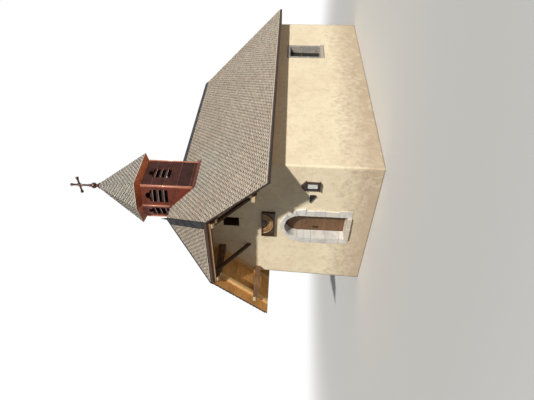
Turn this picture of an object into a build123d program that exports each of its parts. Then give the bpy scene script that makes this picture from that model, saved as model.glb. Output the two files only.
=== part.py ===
"""A small chapel: a nave with a three-sided apse, a deep timbered porch roof and a belfry on the ridge."""
from math import asin, atan, atan2, cos, degrees, hypot, pi, radians, sin, sqrt, tan
import os

from build123d import *

# Units are millimetres. X runs across the front, Y runs back along the nave and Z is up.
# The pieces are drawn from the foot of the front wall, on the chapel's axis, and then moved so
# that the origin is on the ground in the middle of the roof's plan.

# Ground and floor
sill_height = 850        # door sill above the lowest ground that the walls reach
floor_thickness = 200
threshold_height = 150
threshold_proud = 90

# Walls, measured at their foot
nave_width = 5550
nave_length = 9500       # foot of the front wall to the middle of the apse's octagon
wall_thickness = 620
wall_height = 3822       # underside of the wall plates
wall_batter = 0.02       # lean of each outer face, run over rise
gable_thickness = 450

# Roof
roof_pitch = 47.3        # degrees, the same on every slope
eave_overhang = 550
front_overhang = 1480
half_hip_peak = 70       # top of the half hip, behind the front wall's foot
covering_depth = 100     # boards and shingles, measured upright
rafter_depth = 210       # measured upright
rafter_width = 110
rafter_spacing = 900
rafter_seat = 60         # level seat that each rafter has on its plate or purlin
rafter_end_gap = 40      # rafter ends behind the covering's edge
porch_rafter_reach = 1035    # middle of the porch's outer rafters, in front of the wall's foot
jack_share = 0.55            # outer rafters of the half hip, as a share of its half width

# Roof timbers
plate_width = 240
plate_height = 200
plate_inset = 10         # outer side of the plate behind the wall's face
plate_end_gap = 100      # plate's end behind the covering's front edge
purlin_width = 180
purlin_height = 230
purlin_inset = 180       # middle of each purlin, inside the half hip's corner
purlin_end_gap = 60
hip_beam_gap = 50        # beam's face behind the covering's front edge
hip_beam_width = 160
hip_beam_height = 160
brace_inset = 200        # middle of each brace, inside the purlin's middle
brace_width = 100
brace_depth = 110
brace_foot_rise = 420    # brace's foot above the wall plate's underside
nose_length = 240        # carved end of plates and purlins
nose_steps = 8           # flats along its curve

# Doorway
door_opening_width = 1080
door_spring_height = 1600    # springing above the sill
reveal_depth = 370
surround_width = 330
surround_proud = 15
surround_drop = 170          # springing of the outer ring below the opening's own
keystone_width = 475         # at its top
keystone_proud = 12          # in front of the other stones
stone_joint = 9
stone_joint_depth = 26
side_stones = 3              # arch stones on each side of the keystone
stone_clearance = 0.3        # thin bed between the ring and the wall
embrasure_side = 160         # embrasure wider than the opening, each side
embrasure_margin = 120       # embrasure's sides higher than the opening's top
embrasure_rise = 100

# Door leaf
leaf_lap = 30
leaf_thickness = 50
leaf_gap = 5
leaf_floor_gap = 10
front_board_height = 152     # the leaf's outer boards run across it
plank_count = 7              # and its inner planks run upright
groove_width = 8
groove_depth = 6
ledge_height = 140
ledge_thickness = 32
ledge_margin = 60
ledge_inset = 260            # straps from the leaf's foot and from the springing
strap_height = 60
strap_thickness = 8
strap_reach = 860
pin_radius = 9
eye_radius = 16
eye_gap = 4
pin_clearance = 1
pin_height = 110
pin_gap = 6                  # between a strap's eye and the bracket under it
handle_height = 1010         # middle of the plate, above the sill
handle_inset = 190           # from the leaf's edge
handle_plate_width = 70
handle_plate_height = 190
handle_plate_thickness = 6
handle_ring_radius = 48
handle_ring_width = 13
handle_boss_radius = 15
handle_boss_length = 30

# Windows
window_width = 910
window_height = 1300
window_sill_height = 865     # above the door sill
window_place = 7760          # middle of the window, back from the front wall's foot
stone_frame_width = 140
stone_frame_proud = 25
stone_frame_depth = 200
stone_sill_height = 140
stone_sill_proud = 60
sash_width = 55
sash_thickness = 45
sash_set_back = 85
transom_share = 0.62         # height of the sash's crossbar, as a share of the window
glass_thickness = 8

# Gable opening
attic_width = 440
attic_height = 560
attic_rise = 778             # its sill above the wall plates' underside

# Belfry
belfry_half_width = 780
belfry_side_length = 1410
belfry_point = 220           # how far each pointed end stands out
belfry_middle = 1625
belfry_rise = 1020           # wall tops above the ridge
belfry_wall = 60
belfry_skirt = 200           # walls run this far below the roof's face at their sides
louvre_width = 500
louvre_height = 820
louvre_drop = 150            # its top below the wall top
louvre_count = 4
slat_thickness = 20
slat_depth = 200
slat_tilt = 42               # outer edge lower than the inner one
strip_width = 45
strip_thickness = 14
flashing_width = 110
flashing_thickness = 14

# Spire
spire_overhang = 220
soffit_rise = 150            # the soffit slopes from the wall tops up to the eave
spire_height = 1840
spire_shell = 120
tip_share = 0.02             # the blunt tip under the ball, as a share of the eave's plan
cap_height = 115
cap_thickness = 14

# Ball and cross
ball_radius = 115
ball_sink = 6                # the ball's foot below the tip
collar_radius = 62
collar_height = 115
cross_height = 925           # above the ball's middle
cross_arm_drop = 370         # arms below the cross's top
cross_half_span = 345        # to the middle of the end knobs
cross_rod_radius = 36
cross_knob_radius = 62
cross_ray = 135
cross_ray_radius = 11

# Ridge and hip metal
ridge_cap_width = 120
ridge_cap_thickness = 12
hip_band_width = 190
hip_strip_width = 45
hip_band_thickness = 10
spike_height = 190
spike_radius = 42
spike_tip_radius = 5

# Things on the front wall
niche_width = 1160
niche_height = 470
niche_middle = 35            # right of the door's middle
niche_gap = 180              # above the doorway's outer ring
niche_depth = 110
niche_board = 30
garland_half_width = 490
garland_drop = 395           # its depth below the case's top board
garland_hole_share = 0.52
garland_steps = 20           # flats along its rim
garland_thickness = 60
case_width = 310
case_height = 435
case_depth = 90
case_board = 35
case_recess = 40
case_middle = 1930
case_bottom = 1095           # above the sill
case_roof_rise = 125
case_roof_reach = 25         # roof and ledge wider than the box, each side
case_roof_thickness = 28
lamp_width = 310
lamp_height = 200
lamp_depth = 80
lamp_left = 1206
lamp_top = 1365              # above the sill

# Worked out from the sizes above
slope = tan(radians(roof_pitch))
half_width = nave_width / 2
half_turn = tan(radians(22.5))
batter_angle = degrees(atan(wall_batter))
eave_x = half_width + eave_overhang
apse_y = nave_length
front_y = -front_overhang
apex_y = half_hip_peak
half_hip_x = apex_y - front_y
total_depth = covering_depth + rafter_depth
plan_middle = (front_y + apse_y + eave_x) / 2
plate_outer = half_width - wall_batter * wall_height - plate_inset
plate_top = wall_height + plate_height
ridge_height = plate_top + total_depth + slope * (plate_outer - rafter_seat)
half_hip_height = ridge_height - slope * half_hip_x


def roof_z(across):
    """Height of the covering's upper face at a distance from the ridge line."""
    return ridge_height - slope * abs(across)


def half_hip_z(y):
    """Height of the half hip's upper face at a distance back from the front wall's foot."""
    return ridge_height - slope * (apex_y - y)


def wall_face(height):
    """Distance from the axis to the outer face of a side wall at a height."""
    return half_width - wall_batter * height


def front_face(height):
    """Place of the front wall's outer face at a height."""
    return wall_batter * height


def seat_height(outer_x):
    """Top of a timber that the rafters rest on, from the timber's outer side."""
    return roof_z(outer_x - rafter_seat) - total_depth


wall_top = wall_height
purlin_middle = half_hip_x - purlin_inset
purlin_outer = purlin_middle + purlin_width / 2
purlin_top = seat_height(purlin_outer)
purlin_bottom = purlin_top - purlin_height
# The rafters' tails are cut level with the covering's lower edge
tail_z = roof_z(eave_x) - covering_depth


def octagon(inradius):
    """Plan of the nave and the apse: two straight sides that end in three sides of an octagon."""
    corner = inradius * half_turn
    return [
        (inradius, apse_y + corner),
        (corner, apse_y + inradius),
        (-corner, apse_y + inradius),
        (-inradius, apse_y + corner),
    ]


def plan_face(points, height=0):
    return Pos(0, 0, height) * make_face(Polyline(*points, close=True))


def upright(points, thickness, at=(0, 0), angle=0):
    """A plate in the upright plane through a point, from outline points of (run, height)."""
    run = (cos(radians(angle)), sin(radians(angle)), 0)
    across = (run[1], -run[0], 0)
    plane = Plane(origin=(at[0], at[1], 0), x_dir=run, z_dir=across)
    return extrude(plane * make_face(Polyline(*points, close=True)), amount=thickness / 2, both=True)


def block(x0, x1, y0, y1, z0, z1):
    """A box from its limits."""
    return Pos((x0 + x1) / 2, (y0 + y1) / 2, (z0 + z1) / 2) * Box(abs(x1 - x0), abs(y1 - y0), abs(z1 - z0))


def slab(points, depth):
    """A plate under a sloping polygon, with plumb edges."""
    face = Face(Wire.make_polygon([Vector(*p) for p in points], close=True))
    return extrude(face, amount=depth, dir=(0, 0, -1))


def mirrored(shape):
    """The same piece on the other side of the chapel's axis."""
    return mirror(shape, about=Plane.YZ)


def frustum(low, low_z, high, high_z):
    """A body with flat faces between two like outlines at two heights."""
    under = [Vector(x, y, low_z) for x, y in low]
    over = [Vector(x, y, high_z) for x, y in high]
    faces = [Face(Wire.make_polygon(under, close=True)), Face(Wire.make_polygon(over, close=True))]
    for i in range(len(low)):
        j = (i + 1) % len(low)
        faces.append(Face(Wire.make_polygon([under[i], under[j], over[j], over[i]], close=True)))
    return Solid(Shell(faces))


def turned(profile, at=(0, 0)):
    """A body turned about an upright axis, from (radius, height) points of its half outline."""
    outline = Plane.XZ * make_face(Polyline(*profile, close=True))
    return Pos(at[0], at[1], 0) * revolve(outline, axis=Axis.Z)


nodes = {}


def add(name, *shapes):
    """Collects one named piece, or several like pieces that don't touch."""
    solids = []
    for shape in shapes:
        solids += [Pos(0, -plan_middle, 0) * solid for solid in shape.solids()]
    nodes[name] = Compound(children=solids) if len(solids) > 1 else solids[0]


# The masonry's outer body, with every face leaning in, and the room inside it
footprint = [(-half_width, 0), (half_width, 0)] + octagon(half_width)
outer_body = extrude(plan_face(footprint), amount=ridge_height, taper=batter_angle)
inner_half = half_width - wall_thickness
room_outline = [(-inner_half, wall_thickness), (inner_half, wall_thickness)] + octagon(inner_half)
room = extrude(plan_face(room_outline), amount=ridge_height)
shell = outer_body - room

door_half = door_opening_width / 2
surround_half = door_half + surround_width
embrasure_half = door_half + embrasure_side
spring_z = sill_height + door_spring_height
ring_z = spring_z - surround_drop
arch_top = ring_z + surround_half
far = nave_length + nave_width
foundation_top = sill_height - threshold_height


def disc(radius, y0, y1, height, x=0):
    """A round bar that lies along Y."""
    return Pos(x, (y0 + y1) / 2, height) * Rot(90, 0, 0) * Cylinder(radius, abs(y1 - y0))


def arched_block(half, bottom, spring, y0, y1):
    """An opening with a half-round head."""
    return block(-half, half, y0, y1, bottom, spring) + disc(half, y0, y1, spring)


def embrasure():
    """The wider opening inside the leaf, with a flat arch over it."""
    side_top = spring_z + door_half + embrasure_margin
    radius = (embrasure_half ** 2 + embrasure_rise ** 2) / (2 * embrasure_rise)
    back = wall_thickness + 1
    body = block(-embrasure_half, embrasure_half, reveal_depth, back, sill_height, side_top)
    head = disc(radius, reveal_depth, back, side_top + embrasure_rise - radius)
    head &= block(-embrasure_half, embrasure_half, reveal_depth, back, side_top, side_top + embrasure_rise)
    return body + head


# Front wall, in pieces beside, under and over the doorway
def front_walls():
    strip = shell & block(-nave_width, nave_width, -1, wall_thickness, 0, wall_top)
    side = strip & block(-nave_width, -surround_half, -1, wall_thickness, 0, wall_top)
    back = block(-surround_half, -embrasure_half, reveal_depth, wall_thickness, 0, ring_z)
    left = side + back
    add("front_wall_left", left)
    add("front_wall_right", mirrored(left))
    under = strip & block(-surround_half, surround_half, -1, wall_thickness, 0, foundation_top)
    under -= block(-surround_half, -embrasure_half, reveal_depth, wall_thickness, 0, foundation_top)
    under -= block(embrasure_half, surround_half, reveal_depth, wall_thickness, 0, foundation_top)
    add("front_wall_under_door", under)
    over = strip & block(-surround_half, surround_half, -1, wall_thickness, ring_z, wall_top)
    over -= disc(surround_half + stone_clearance, -1, reveal_depth, ring_z)
    over -= embrasure()
    add("front_wall_over_door", over)


def gable_wall():
    inner = plate_outer - plate_width
    eave_line = roof_z(plate_outer) - covering_depth
    outline = [
        (-inner, wall_top), (inner, wall_top), (inner, plate_top), (plate_outer, plate_top),
        (plate_outer, eave_line), (0, ridge_height - covering_depth),
        (-plate_outer, eave_line), (-plate_outer, plate_top), (-inner, plate_top),
    ]
    wall = upright(outline, gable_thickness, at=(0, gable_thickness / 2))
    wall &= outer_body
    sill = wall_top + attic_rise
    wall -= block(-attic_width / 2, attic_width / 2, -1, wall_thickness, sill, sill + attic_height)
    for side in (-1, 1):
        x = side * purlin_middle
        wall -= block(x - purlin_width / 2, x + purlin_width / 2, -1, wall_thickness,
                      purlin_bottom, purlin_top)
    add("gable_wall", wall)


def window_cut(side):
    """The opening through a side wall, with the stone frame's seat."""
    y0 = window_place - window_width / 2
    y1 = window_place + window_width / 2
    z0 = sill_height + window_sill_height
    z1 = z0 + window_height
    x_out = side * (half_width + 10)
    x_in = side * (inner_half - 10)
    hole = block(x_in, x_out, y0, y1, z0, z1)
    x_seat = side * (wall_face(z1) - stone_frame_depth)
    f = stone_frame_width
    seat = block(x_seat, x_out, y0 - f, y1 + f, z0 - stone_sill_height, z1 + f)
    return hole + seat


def side_and_apse_walls():
    body = shell & block(-nave_width, nave_width, wall_thickness, far, 0, wall_top)
    # The walls part along the octagon's own corners
    reach = nave_width * 2
    corner_line = (reach, apse_y + reach * half_turn)
    next_line = (reach * half_turn, apse_y + reach)
    centre = (0, apse_y)
    side_zone = plan_face([(0, wall_thickness), (reach, wall_thickness), corner_line, centre])
    right = body & extrude(side_zone, amount=wall_top)
    add("side_wall_right", right - window_cut(1))
    add("side_wall_left", mirrored(right) - window_cut(-1))
    slanted = body & extrude(plan_face([centre, corner_line, next_line]), amount=wall_top)
    add("apse_wall_right", slanted)
    add("apse_wall_left", mirrored(slanted))
    rear_zone = plan_face([centre, next_line, (-next_line[0], next_line[1])])
    add("apse_wall_rear", body & extrude(rear_zone, amount=wall_top))


def stone_floor():
    low = sill_height - floor_thickness
    add("stone_floor", extrude(plan_face(room_outline, low), amount=floor_thickness))
    tread = block(-embrasure_half, embrasure_half, reveal_depth, wall_thickness, foundation_top, sill_height)
    front = block(-door_half, door_half, -threshold_proud, reveal_depth, foundation_top, sill_height)
    add("door_threshold", front + tread)


def door_surround():
    jamb = block(-surround_half, -door_half, -surround_proud, reveal_depth, foundation_top, ring_z)
    add("door_jambs", jamb, mirrored(jamb))
    ring = disc(surround_half, -surround_proud, reveal_depth, ring_z)
    ring &= block(-nave_width, nave_width, -nave_width, nave_width, ring_z, wall_top)
    ring -= arched_block(door_half, ring_z, spring_z, -nave_width, nave_width)
    # The keystone's sides and the other joints all point to the outer ring's middle
    key_angle = degrees(asin(keystone_width / 2 / surround_half))
    key_reach = 2 * surround_half
    key_half = key_reach * tan(radians(key_angle))
    key_zone = upright([(0, ring_z), (key_half, ring_z + key_reach), (-key_half, ring_z + key_reach)],
                       nave_width, at=(0, 0))
    stones = ring - key_zone
    stone_angle = (90 - key_angle) / side_stones
    for i in range(1, side_stones):
        for side in (-1, 1):
            joint = block(0, key_reach, -surround_proud - 1, stone_joint_depth - surround_proud,
                          -stone_joint / 2, stone_joint / 2)
            stones -= Pos(0, 0, ring_z) * Rot(0, -90 + side * (key_angle + i * stone_angle), 0) * joint
    add("door_arch_stones", stones)
    key = ring & key_zone
    nose = Pos(0, -keystone_proud, 0) * key
    add("door_keystone", key + nose)


leaf_half = door_half + leaf_lap
leaf_front = reveal_depth + leaf_gap
leaf_back = leaf_front + leaf_thickness
leaf_bottom = sill_height + leaf_floor_gap
hinge_x = leaf_half + eye_radius + eye_gap
hinge_y = leaf_back + strap_thickness / 2
strap_places = (leaf_bottom + ledge_inset, spring_z - ledge_inset)


def door_leaf():
    leaf = arched_block(leaf_half, leaf_bottom, spring_z, leaf_front, leaf_back)
    leaf_top = spring_z + leaf_half
    z = leaf_bottom + front_board_height
    while z < leaf_top - front_board_height / 2:
        leaf -= block(-leaf_half, leaf_half, leaf_front - 1, leaf_front + groove_depth,
                      z - groove_width / 2, z + groove_width / 2)
        z += front_board_height
    pitch = 2 * leaf_half / plank_count
    for i in range(1, plank_count):
        x = -leaf_half + i * pitch
        leaf -= block(x - groove_width / 2, x + groove_width / 2, leaf_back - groove_depth, leaf_back + 1,
                      leaf_bottom - 1, leaf_top)
    add("door_leaf", leaf)
    ledges = []
    straps = []
    pins = []
    for z in strap_places:
        ledges.append(block(-leaf_half + ledge_margin, leaf_half - ledge_margin, leaf_back,
                            leaf_back + ledge_thickness, z + strap_height, z + strap_height + ledge_height))
        eye_place = Pos(hinge_x, hinge_y, z + strap_height / 2)
        strap = block(hinge_x - strap_reach, hinge_x, leaf_back, leaf_back + strap_thickness,
                      z, z + strap_height)
        strap += eye_place * Cylinder(eye_radius, strap_height)
        straps.append(strap - eye_place * Cylinder(pin_radius + pin_clearance, strap_height + 2))
        # Each pin stands on a bracket that is built into the embrasure's side
        bracket_top = z - pin_gap
        bracket_low = bracket_top - 2 * pin_radius
        pin = Pos(hinge_x, hinge_y, bracket_low + pin_height / 2) * Cylinder(pin_radius, pin_height)
        arm = block(hinge_x, embrasure_half, hinge_y - pin_radius, hinge_y + pin_radius,
                    bracket_low, bracket_top)
        pins.append(pin + arm)
    add("door_ledges", *ledges)
    add("door_straps", *straps)
    add("door_pintles", *pins)
    grip_x = -leaf_half + handle_inset
    grip_z = sill_height + handle_height
    plate_front = leaf_front - handle_plate_thickness
    plate = block(grip_x - handle_plate_width / 2, grip_x + handle_plate_width / 2, plate_front, leaf_front,
                  grip_z - handle_plate_height / 2, grip_z + handle_plate_height / 2)
    boss = disc(handle_boss_radius, plate_front - handle_boss_length, plate_front, grip_z, grip_x)
    ring_back = plate_front - handle_boss_length + handle_ring_width
    ring_middle = grip_z - handle_ring_radius + handle_boss_radius
    ring = disc(handle_ring_radius, ring_back - handle_ring_width, ring_back, ring_middle, grip_x)
    ring -= disc(handle_ring_radius - handle_ring_width, ring_back - handle_ring_width - 1, ring_back + 1,
                 ring_middle, grip_x)
    add("door_handle", plate + boss + ring)


def windows():
    y0 = window_place - window_width / 2
    y1 = window_place + window_width / 2
    z0 = sill_height + window_sill_height
    z1 = z0 + window_height
    f = stone_frame_width
    seat = wall_face(z1) - stone_frame_depth
    frame = block(seat, half_width + stone_frame_proud, y0 - f, y1 + f, z0, z1 + f)
    frame -= block(0, nave_width, y0, y1, z0 - 1, z1)
    frame &= extrude(Pos(stone_frame_proud, 0, 0) * plan_face(footprint), amount=ridge_height,
                     taper=batter_angle)
    sill = block(seat, wall_face(z0) + stone_sill_proud, y0 - f, y1 + f, z0 - stone_sill_height, z0)
    add("window_frames", frame, mirrored(frame))
    add("window_sills", sill, mirrored(sill))
    sash_out = seat - sash_set_back + sash_thickness
    sash_in = sash_out - sash_thickness
    sash = block(sash_in, sash_out, y0, y1, z0, z1)
    s = sash_width
    bar_z = z0 + window_height * transom_share
    centre = (sash_out + sash_in) / 2
    panes = []
    for ya, yb in ((y0 + s, window_place - s / 2), (window_place + s / 2, y1 - s)):
        for za, zb in ((z0 + s, bar_z - s / 2), (bar_z + s / 2, z1 - s)):
            sash -= block(sash_in - 1, sash_out + 1, ya, yb, za, zb)
            panes.append(block(centre - glass_thickness / 2, centre + glass_thickness / 2, ya, yb, za, zb))
    add("window_sashes", sash, mirrored(sash))
    add("window_glass", *panes, *[mirrored(p) for p in panes])


def apse_ring(outer, width, z0, height):
    """A length of timber that follows the octagon behind its middle."""
    inner = outer - width
    ring = extrude(plan_face([(-outer, apse_y), (outer, apse_y)] + octagon(outer), z0), amount=height)
    return ring - extrude(plan_face([(-inner, apse_y), (inner, apse_y)] + octagon(inner), z0), amount=height)


def carved_nose(end_y, low, height):
    """What is cut from the underside of a timber's free end, to leave a nose over a hollow."""
    outline = [(end_y - 1, low - 1), (end_y + nose_length, low - 1)]
    for i in range(nose_steps + 1):
        share = 1 - i / nose_steps
        rise = (1 + cos(pi * share)) / 4 - 0.16 * sin(2 * pi * share)
        outline.append((end_y + nose_length * share, low + height * rise))
    outline.append((end_y - 1, low + height / 2))
    return upright(outline, nave_width * 2, angle=90)


def wall_plates():
    inner = plate_outer - plate_width
    end_y = front_y + plate_end_gap
    right = block(inner, plate_outer, end_y, apse_y, wall_top, plate_top)
    right -= carved_nose(end_y, wall_top, plate_height)
    add("wall_plates", right, mirrored(right))
    ring = apse_ring(plate_outer, plate_width, wall_top, plate_height)
    add("apse_wall_plate", ring)
    return ring


def purlins():
    half = purlin_width / 2
    end_y = front_y + purlin_end_gap
    right = block(purlin_middle - half, purlin_middle + half, end_y, apse_y, purlin_bottom, purlin_top)
    right -= carved_nose(end_y, purlin_bottom, purlin_height)
    straight = [right, mirrored(right)]
    add("purlins", *straight)
    ring = apse_ring(purlin_outer, purlin_width, purlin_bottom, purlin_height)
    add("apse_purlin", ring)
    return straight, ring


# The beam's top meets the underside of the half hip's covering along its front arris
hip_beam_front = front_y + hip_beam_gap
hip_beam_back = hip_beam_front + hip_beam_width
hip_beam_top = half_hip_z(hip_beam_front) - covering_depth
hip_beam_bottom = hip_beam_top - hip_beam_height


def half_hip_timbers(straight_purlins):
    """The beam under the half hip's eave, notched over the purlins, and its two braces."""
    half = half_hip_x - hip_beam_gap
    beam = block(-half, half, hip_beam_front, hip_beam_back, hip_beam_bottom, hip_beam_top)
    beam &= upright([(-nave_width, roof_z(nave_width) - covering_depth), (0, ridge_height - covering_depth),
                     (nave_width, roof_z(nave_width) - covering_depth)], nave_width * 2)
    for purlin in straight_purlins:
        beam -= purlin
    add("half_hip_beam", beam)
    braces = []
    foot_z = wall_top + brace_foot_rise
    foot_y = front_face(foot_z)
    top_z = (hip_beam_top + hip_beam_bottom) / 2
    lean = (top_z - foot_z) / (foot_y - hip_beam_back)
    half_depth = brace_depth * sqrt(1 + lean ** 2) / 2
    # The foot is drawn on past the wall's face and then cut to it
    buried_y = foot_y + brace_depth * 2
    buried_z = foot_z - (buried_y - foot_y) * lean
    for side in (-1, 1):
        outline = [(hip_beam_back, top_z - half_depth), (hip_beam_back, top_z + half_depth),
                   (buried_y, buried_z + half_depth), (buried_y, buried_z - half_depth)]
        brace = upright(outline, brace_width, at=(side * (purlin_middle - brace_inset), 0), angle=90)
        braces.append(brace - outer_body)
    add("half_hip_braces", *braces)
    return [beam] + braces


def rafter_outline(seats, top_run=0):
    """Side view of a rafter in (run from the ridge, height), with level seats cut in its underside."""
    end = eave_x - rafter_end_gap
    outline = [(top_run, roof_z(top_run) - covering_depth), (end, roof_z(end) - covering_depth),
               (end, tail_z), (eave_x - rafter_depth / slope, tail_z)]
    for outer, height in seats:
        outline += [(outer, roof_z(outer) - total_depth), (outer, height), (outer - rafter_seat, height)]
    outline.append((top_run, roof_z(top_run) - total_depth))
    return outline


def hip_strip(at, angle):
    """An upright strip over a hip's line, as wide as a hip rafter."""
    reach = nave_width
    outline = [(0, 0), (reach, 0), (reach, 2 * ridge_height), (0, 2 * ridge_height)]
    return upright(outline, rafter_width, at, angle)


def under_apse_roof():
    """Everything under the covering about the apse's peak, where eight equal slopes would meet."""
    def ring(inradius):
        corner = inradius / cos(radians(22.5))
        turns = [radians(22.5 + 45 * i) for i in range(8)]
        return [(corner * cos(t), apse_y + corner * sin(t)) for t in turns]
    return frustum(ring(nave_width), roof_z(nave_width) - covering_depth, ring(1), roof_z(1) - covering_depth)


def hip_rafter(at, angle, plan_turn, end_run, tail):
    """A rafter under a hip. Its flat top touches both slopes along its edges, and its tail is level."""
    fall = slope * cos(radians(plan_turn))
    top = ridge_height - covering_depth - slope * sin(radians(plan_turn)) * rafter_width / 2
    tail_run = (top - rafter_depth - tail) / fall
    return upright([(0, top), (end_run, top - fall * end_run), (end_run, tail), (tail_run, tail),
                    (0, top - rafter_depth)], rafter_width, at, angle)


peak = (0, apex_y)
front_hip_angles = (-45, -135)
common_seats = [(plate_outer, plate_top), (purlin_outer, purlin_top)]


def front_hip_strips():
    return [hip_strip(peak, angle) for angle in front_hip_angles]


def rafter_rows():
    """Places of the common rafters along the nave: none within the gable wall."""
    rows = [-porch_rafter_reach, apex_y - rafter_width / 2]
    y = wall_thickness + rafter_width
    while y < apse_y - 1.5 * rafter_width:
        rows.append(y)
        y += rafter_spacing
    rows.append(apse_y - rafter_width / 2)
    return rows


def rafters():
    """The common rafters. Those in front of the half hip's peak stop at its hips or under its slope."""
    half_hip_under = upright([(front_y, half_hip_z(front_y) - covering_depth),
                              (apex_y, ridge_height - covering_depth), (apex_y, 0), (front_y, 0)],
                             nave_width * 2, angle=90)
    right = []
    for y in rafter_rows():
        if y < apex_y - rafter_width:
            start = apex_y - y + rafter_width * (sqrt(0.5) - 0.5)
            rafter = upright(rafter_outline(common_seats, top_run=start), rafter_width, at=(0, y))
            rafter -= front_hip_strips()[0]
        else:
            rafter = upright(rafter_outline(common_seats), rafter_width, at=(0, y))
            if y < apex_y:
                rafter &= half_hip_under
        right.append(rafter)
    add("rafters_right", *right)
    add("rafters_left", *[mirrored(r) for r in right])
    # The apse's rafters stop where they would meet one another, and the rear one at the last pair
    apse = []
    for angle, start in ((45, 1.5 * rafter_width), (90, 0), (135, 1.5 * rafter_width)):
        outline = rafter_outline(common_seats, top_run=start)
        apse.append(upright(outline, rafter_width, at=(0, apse_y), angle=angle) & under_apse_roof())
    add("apse_rafters", *apse)
    return right, apse


def half_hip_rafters():
    """The rafters under the half hip's own slope, seated on its beam."""
    jacks = []
    toe = hip_beam_front + rafter_end_gap
    for x in (-half_hip_x * jack_share, 0, half_hip_x * jack_share):
        top = apex_y - rafter_width if x == 0 else apex_y - abs(x) + rafter_width * (0.5 - sqrt(0.5))
        outline = [(toe, half_hip_z(toe) - covering_depth), (top, half_hip_z(top) - covering_depth),
                   (top, half_hip_z(top) - total_depth),
                   (hip_beam_back, half_hip_z(hip_beam_back) - total_depth),
                   (hip_beam_back, hip_beam_top), (toe, hip_beam_top)]
        jack = upright(outline, rafter_width, at=(x, 0), angle=90)
        if x != 0:
            for strip in front_hip_strips():
                jack -= strip
        jacks.append(jack)
    add("half_hip_rafters", *jacks)
    return jacks


def hip_rafters(cut_front, cut_rear):
    """Under each hip. The timbers that they rest on or meet are cut out of them."""
    hips = []
    for angle in front_hip_angles:
        end_run = (apex_y - hip_beam_front - rafter_end_gap) * sqrt(2)
        hip = hip_rafter(peak, angle, 45, end_run, half_hip_height - covering_depth)
        for other in cut_front:
            hip -= other
        hips.append(hip.solids().sort_by(SortBy.VOLUME)[-1])
    for angle in (22.5, 67.5, 112.5, 157.5):
        end_run = (eave_x - rafter_end_gap) / cos(radians(22.5))
        hip = hip_rafter((0, apse_y), angle, 22.5, end_run, tail_z)
        hip &= under_apse_roof()
        for other in cut_rear:
            hip -= other
        hips.append(hip.solids().sort_by(SortBy.VOLUME)[-1])
    add("hip_rafters", *hips)


def roof_slopes():
    """Boards and shingles of each slope, meeting in plumb joints along the ridge and hips."""
    corner = eave_x * half_turn
    eave_z = roof_z(eave_x)
    right = slab([(eave_x, front_y, eave_z), (eave_x, apse_y + corner, eave_z), (0, apse_y, ridge_height),
                  (0, apex_y, ridge_height), (half_hip_x, front_y, half_hip_height)], covering_depth)
    add("roof_right", right)
    add("roof_left", mirrored(right))
    half_hip = slab([(-half_hip_x, front_y, half_hip_height), (half_hip_x, front_y, half_hip_height),
                     (0, apex_y, ridge_height)], covering_depth)
    add("roof_half_hip", half_hip)
    slanted = slab([(eave_x, apse_y + corner, eave_z), (corner, apse_y + eave_x, eave_z),
                    (0, apse_y, ridge_height)], covering_depth)
    rear = slab([(corner, apse_y + eave_x, eave_z), (-corner, apse_y + eave_x, eave_z),
                 (0, apse_y, ridge_height)], covering_depth)
    add("roof_apse_right", slanted)
    add("roof_apse_left", mirrored(slanted))
    add("roof_apse_rear", rear)


belfry_top = ridge_height + belfry_rise
spire_eave_z = belfry_top + soffit_rise
spire_apex_z = spire_eave_z + spire_height


def hexagon(grow=0):
    """Plan of the belfry: two long sides and a point at each end, grown by an even margin."""
    a = belfry_half_width
    half = belfry_side_length / 2
    face = hypot(a, belfry_point)
    # An even offset moves the points by grow over the sine of half their angle
    tip = grow * face / a
    side = grow * (face - belfry_point) / a
    return [(0, belfry_middle - half - belfry_point - tip), (a + grow, belfry_middle - half - side),
            (a + grow, belfry_middle + half + side), (0, belfry_middle + half + belfry_point + tip),
            (-a - grow, belfry_middle + half + side), (-a - grow, belfry_middle - half - side)]


def nave_roof_body(lift=0):
    """Everything under the two long slopes, to cut what stands on them."""
    low = roof_z(half_width)
    return upright([(-half_width, low + lift), (-half_width, 0), (half_width, 0), (half_width, low + lift),
                    (0, ridge_height + lift)], nave_length, at=(0, nave_length / 2))


def belfry_faces():
    """Middle and outward angle of each face of the belfry."""
    corners = hexagon()
    faces = []
    for i in range(6):
        x0, y0 = corners[i]
        x1, y1 = corners[(i + 1) % 6]
        angle = degrees(atan2(y1 - y0, x1 - x0)) - 90
        faces.append((((x0 + x1) / 2, (y0 + y1) / 2), angle))
    return faces


def face_place(middle, angle, height):
    """A location on a belfry face: local X along the face, local Y up, local Z outward."""
    out = (cos(radians(angle)), sin(radians(angle)), 0)
    along = (-out[1], out[0], 0)
    return Plane(origin=(middle[0], middle[1], height), x_dir=along, z_dir=out)


def louvre_outline():
    """A window head of three lobes over straight sides."""
    half = louvre_width / 2
    lobe = half / 2
    straight = louvre_height - 2.2 * lobe
    shape = Pos(0, straight / 2) * Rectangle(louvre_width, straight)
    for x in (-half + lobe, half - lobe):
        shape += Pos(x, straight) * Circle(lobe)
    shape += Pos(0, straight + 1.2 * lobe) * Circle(lobe)
    shape += Pos(0, straight + lobe / 2) * Rectangle(1.6 * lobe, lobe)
    return shape


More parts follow.
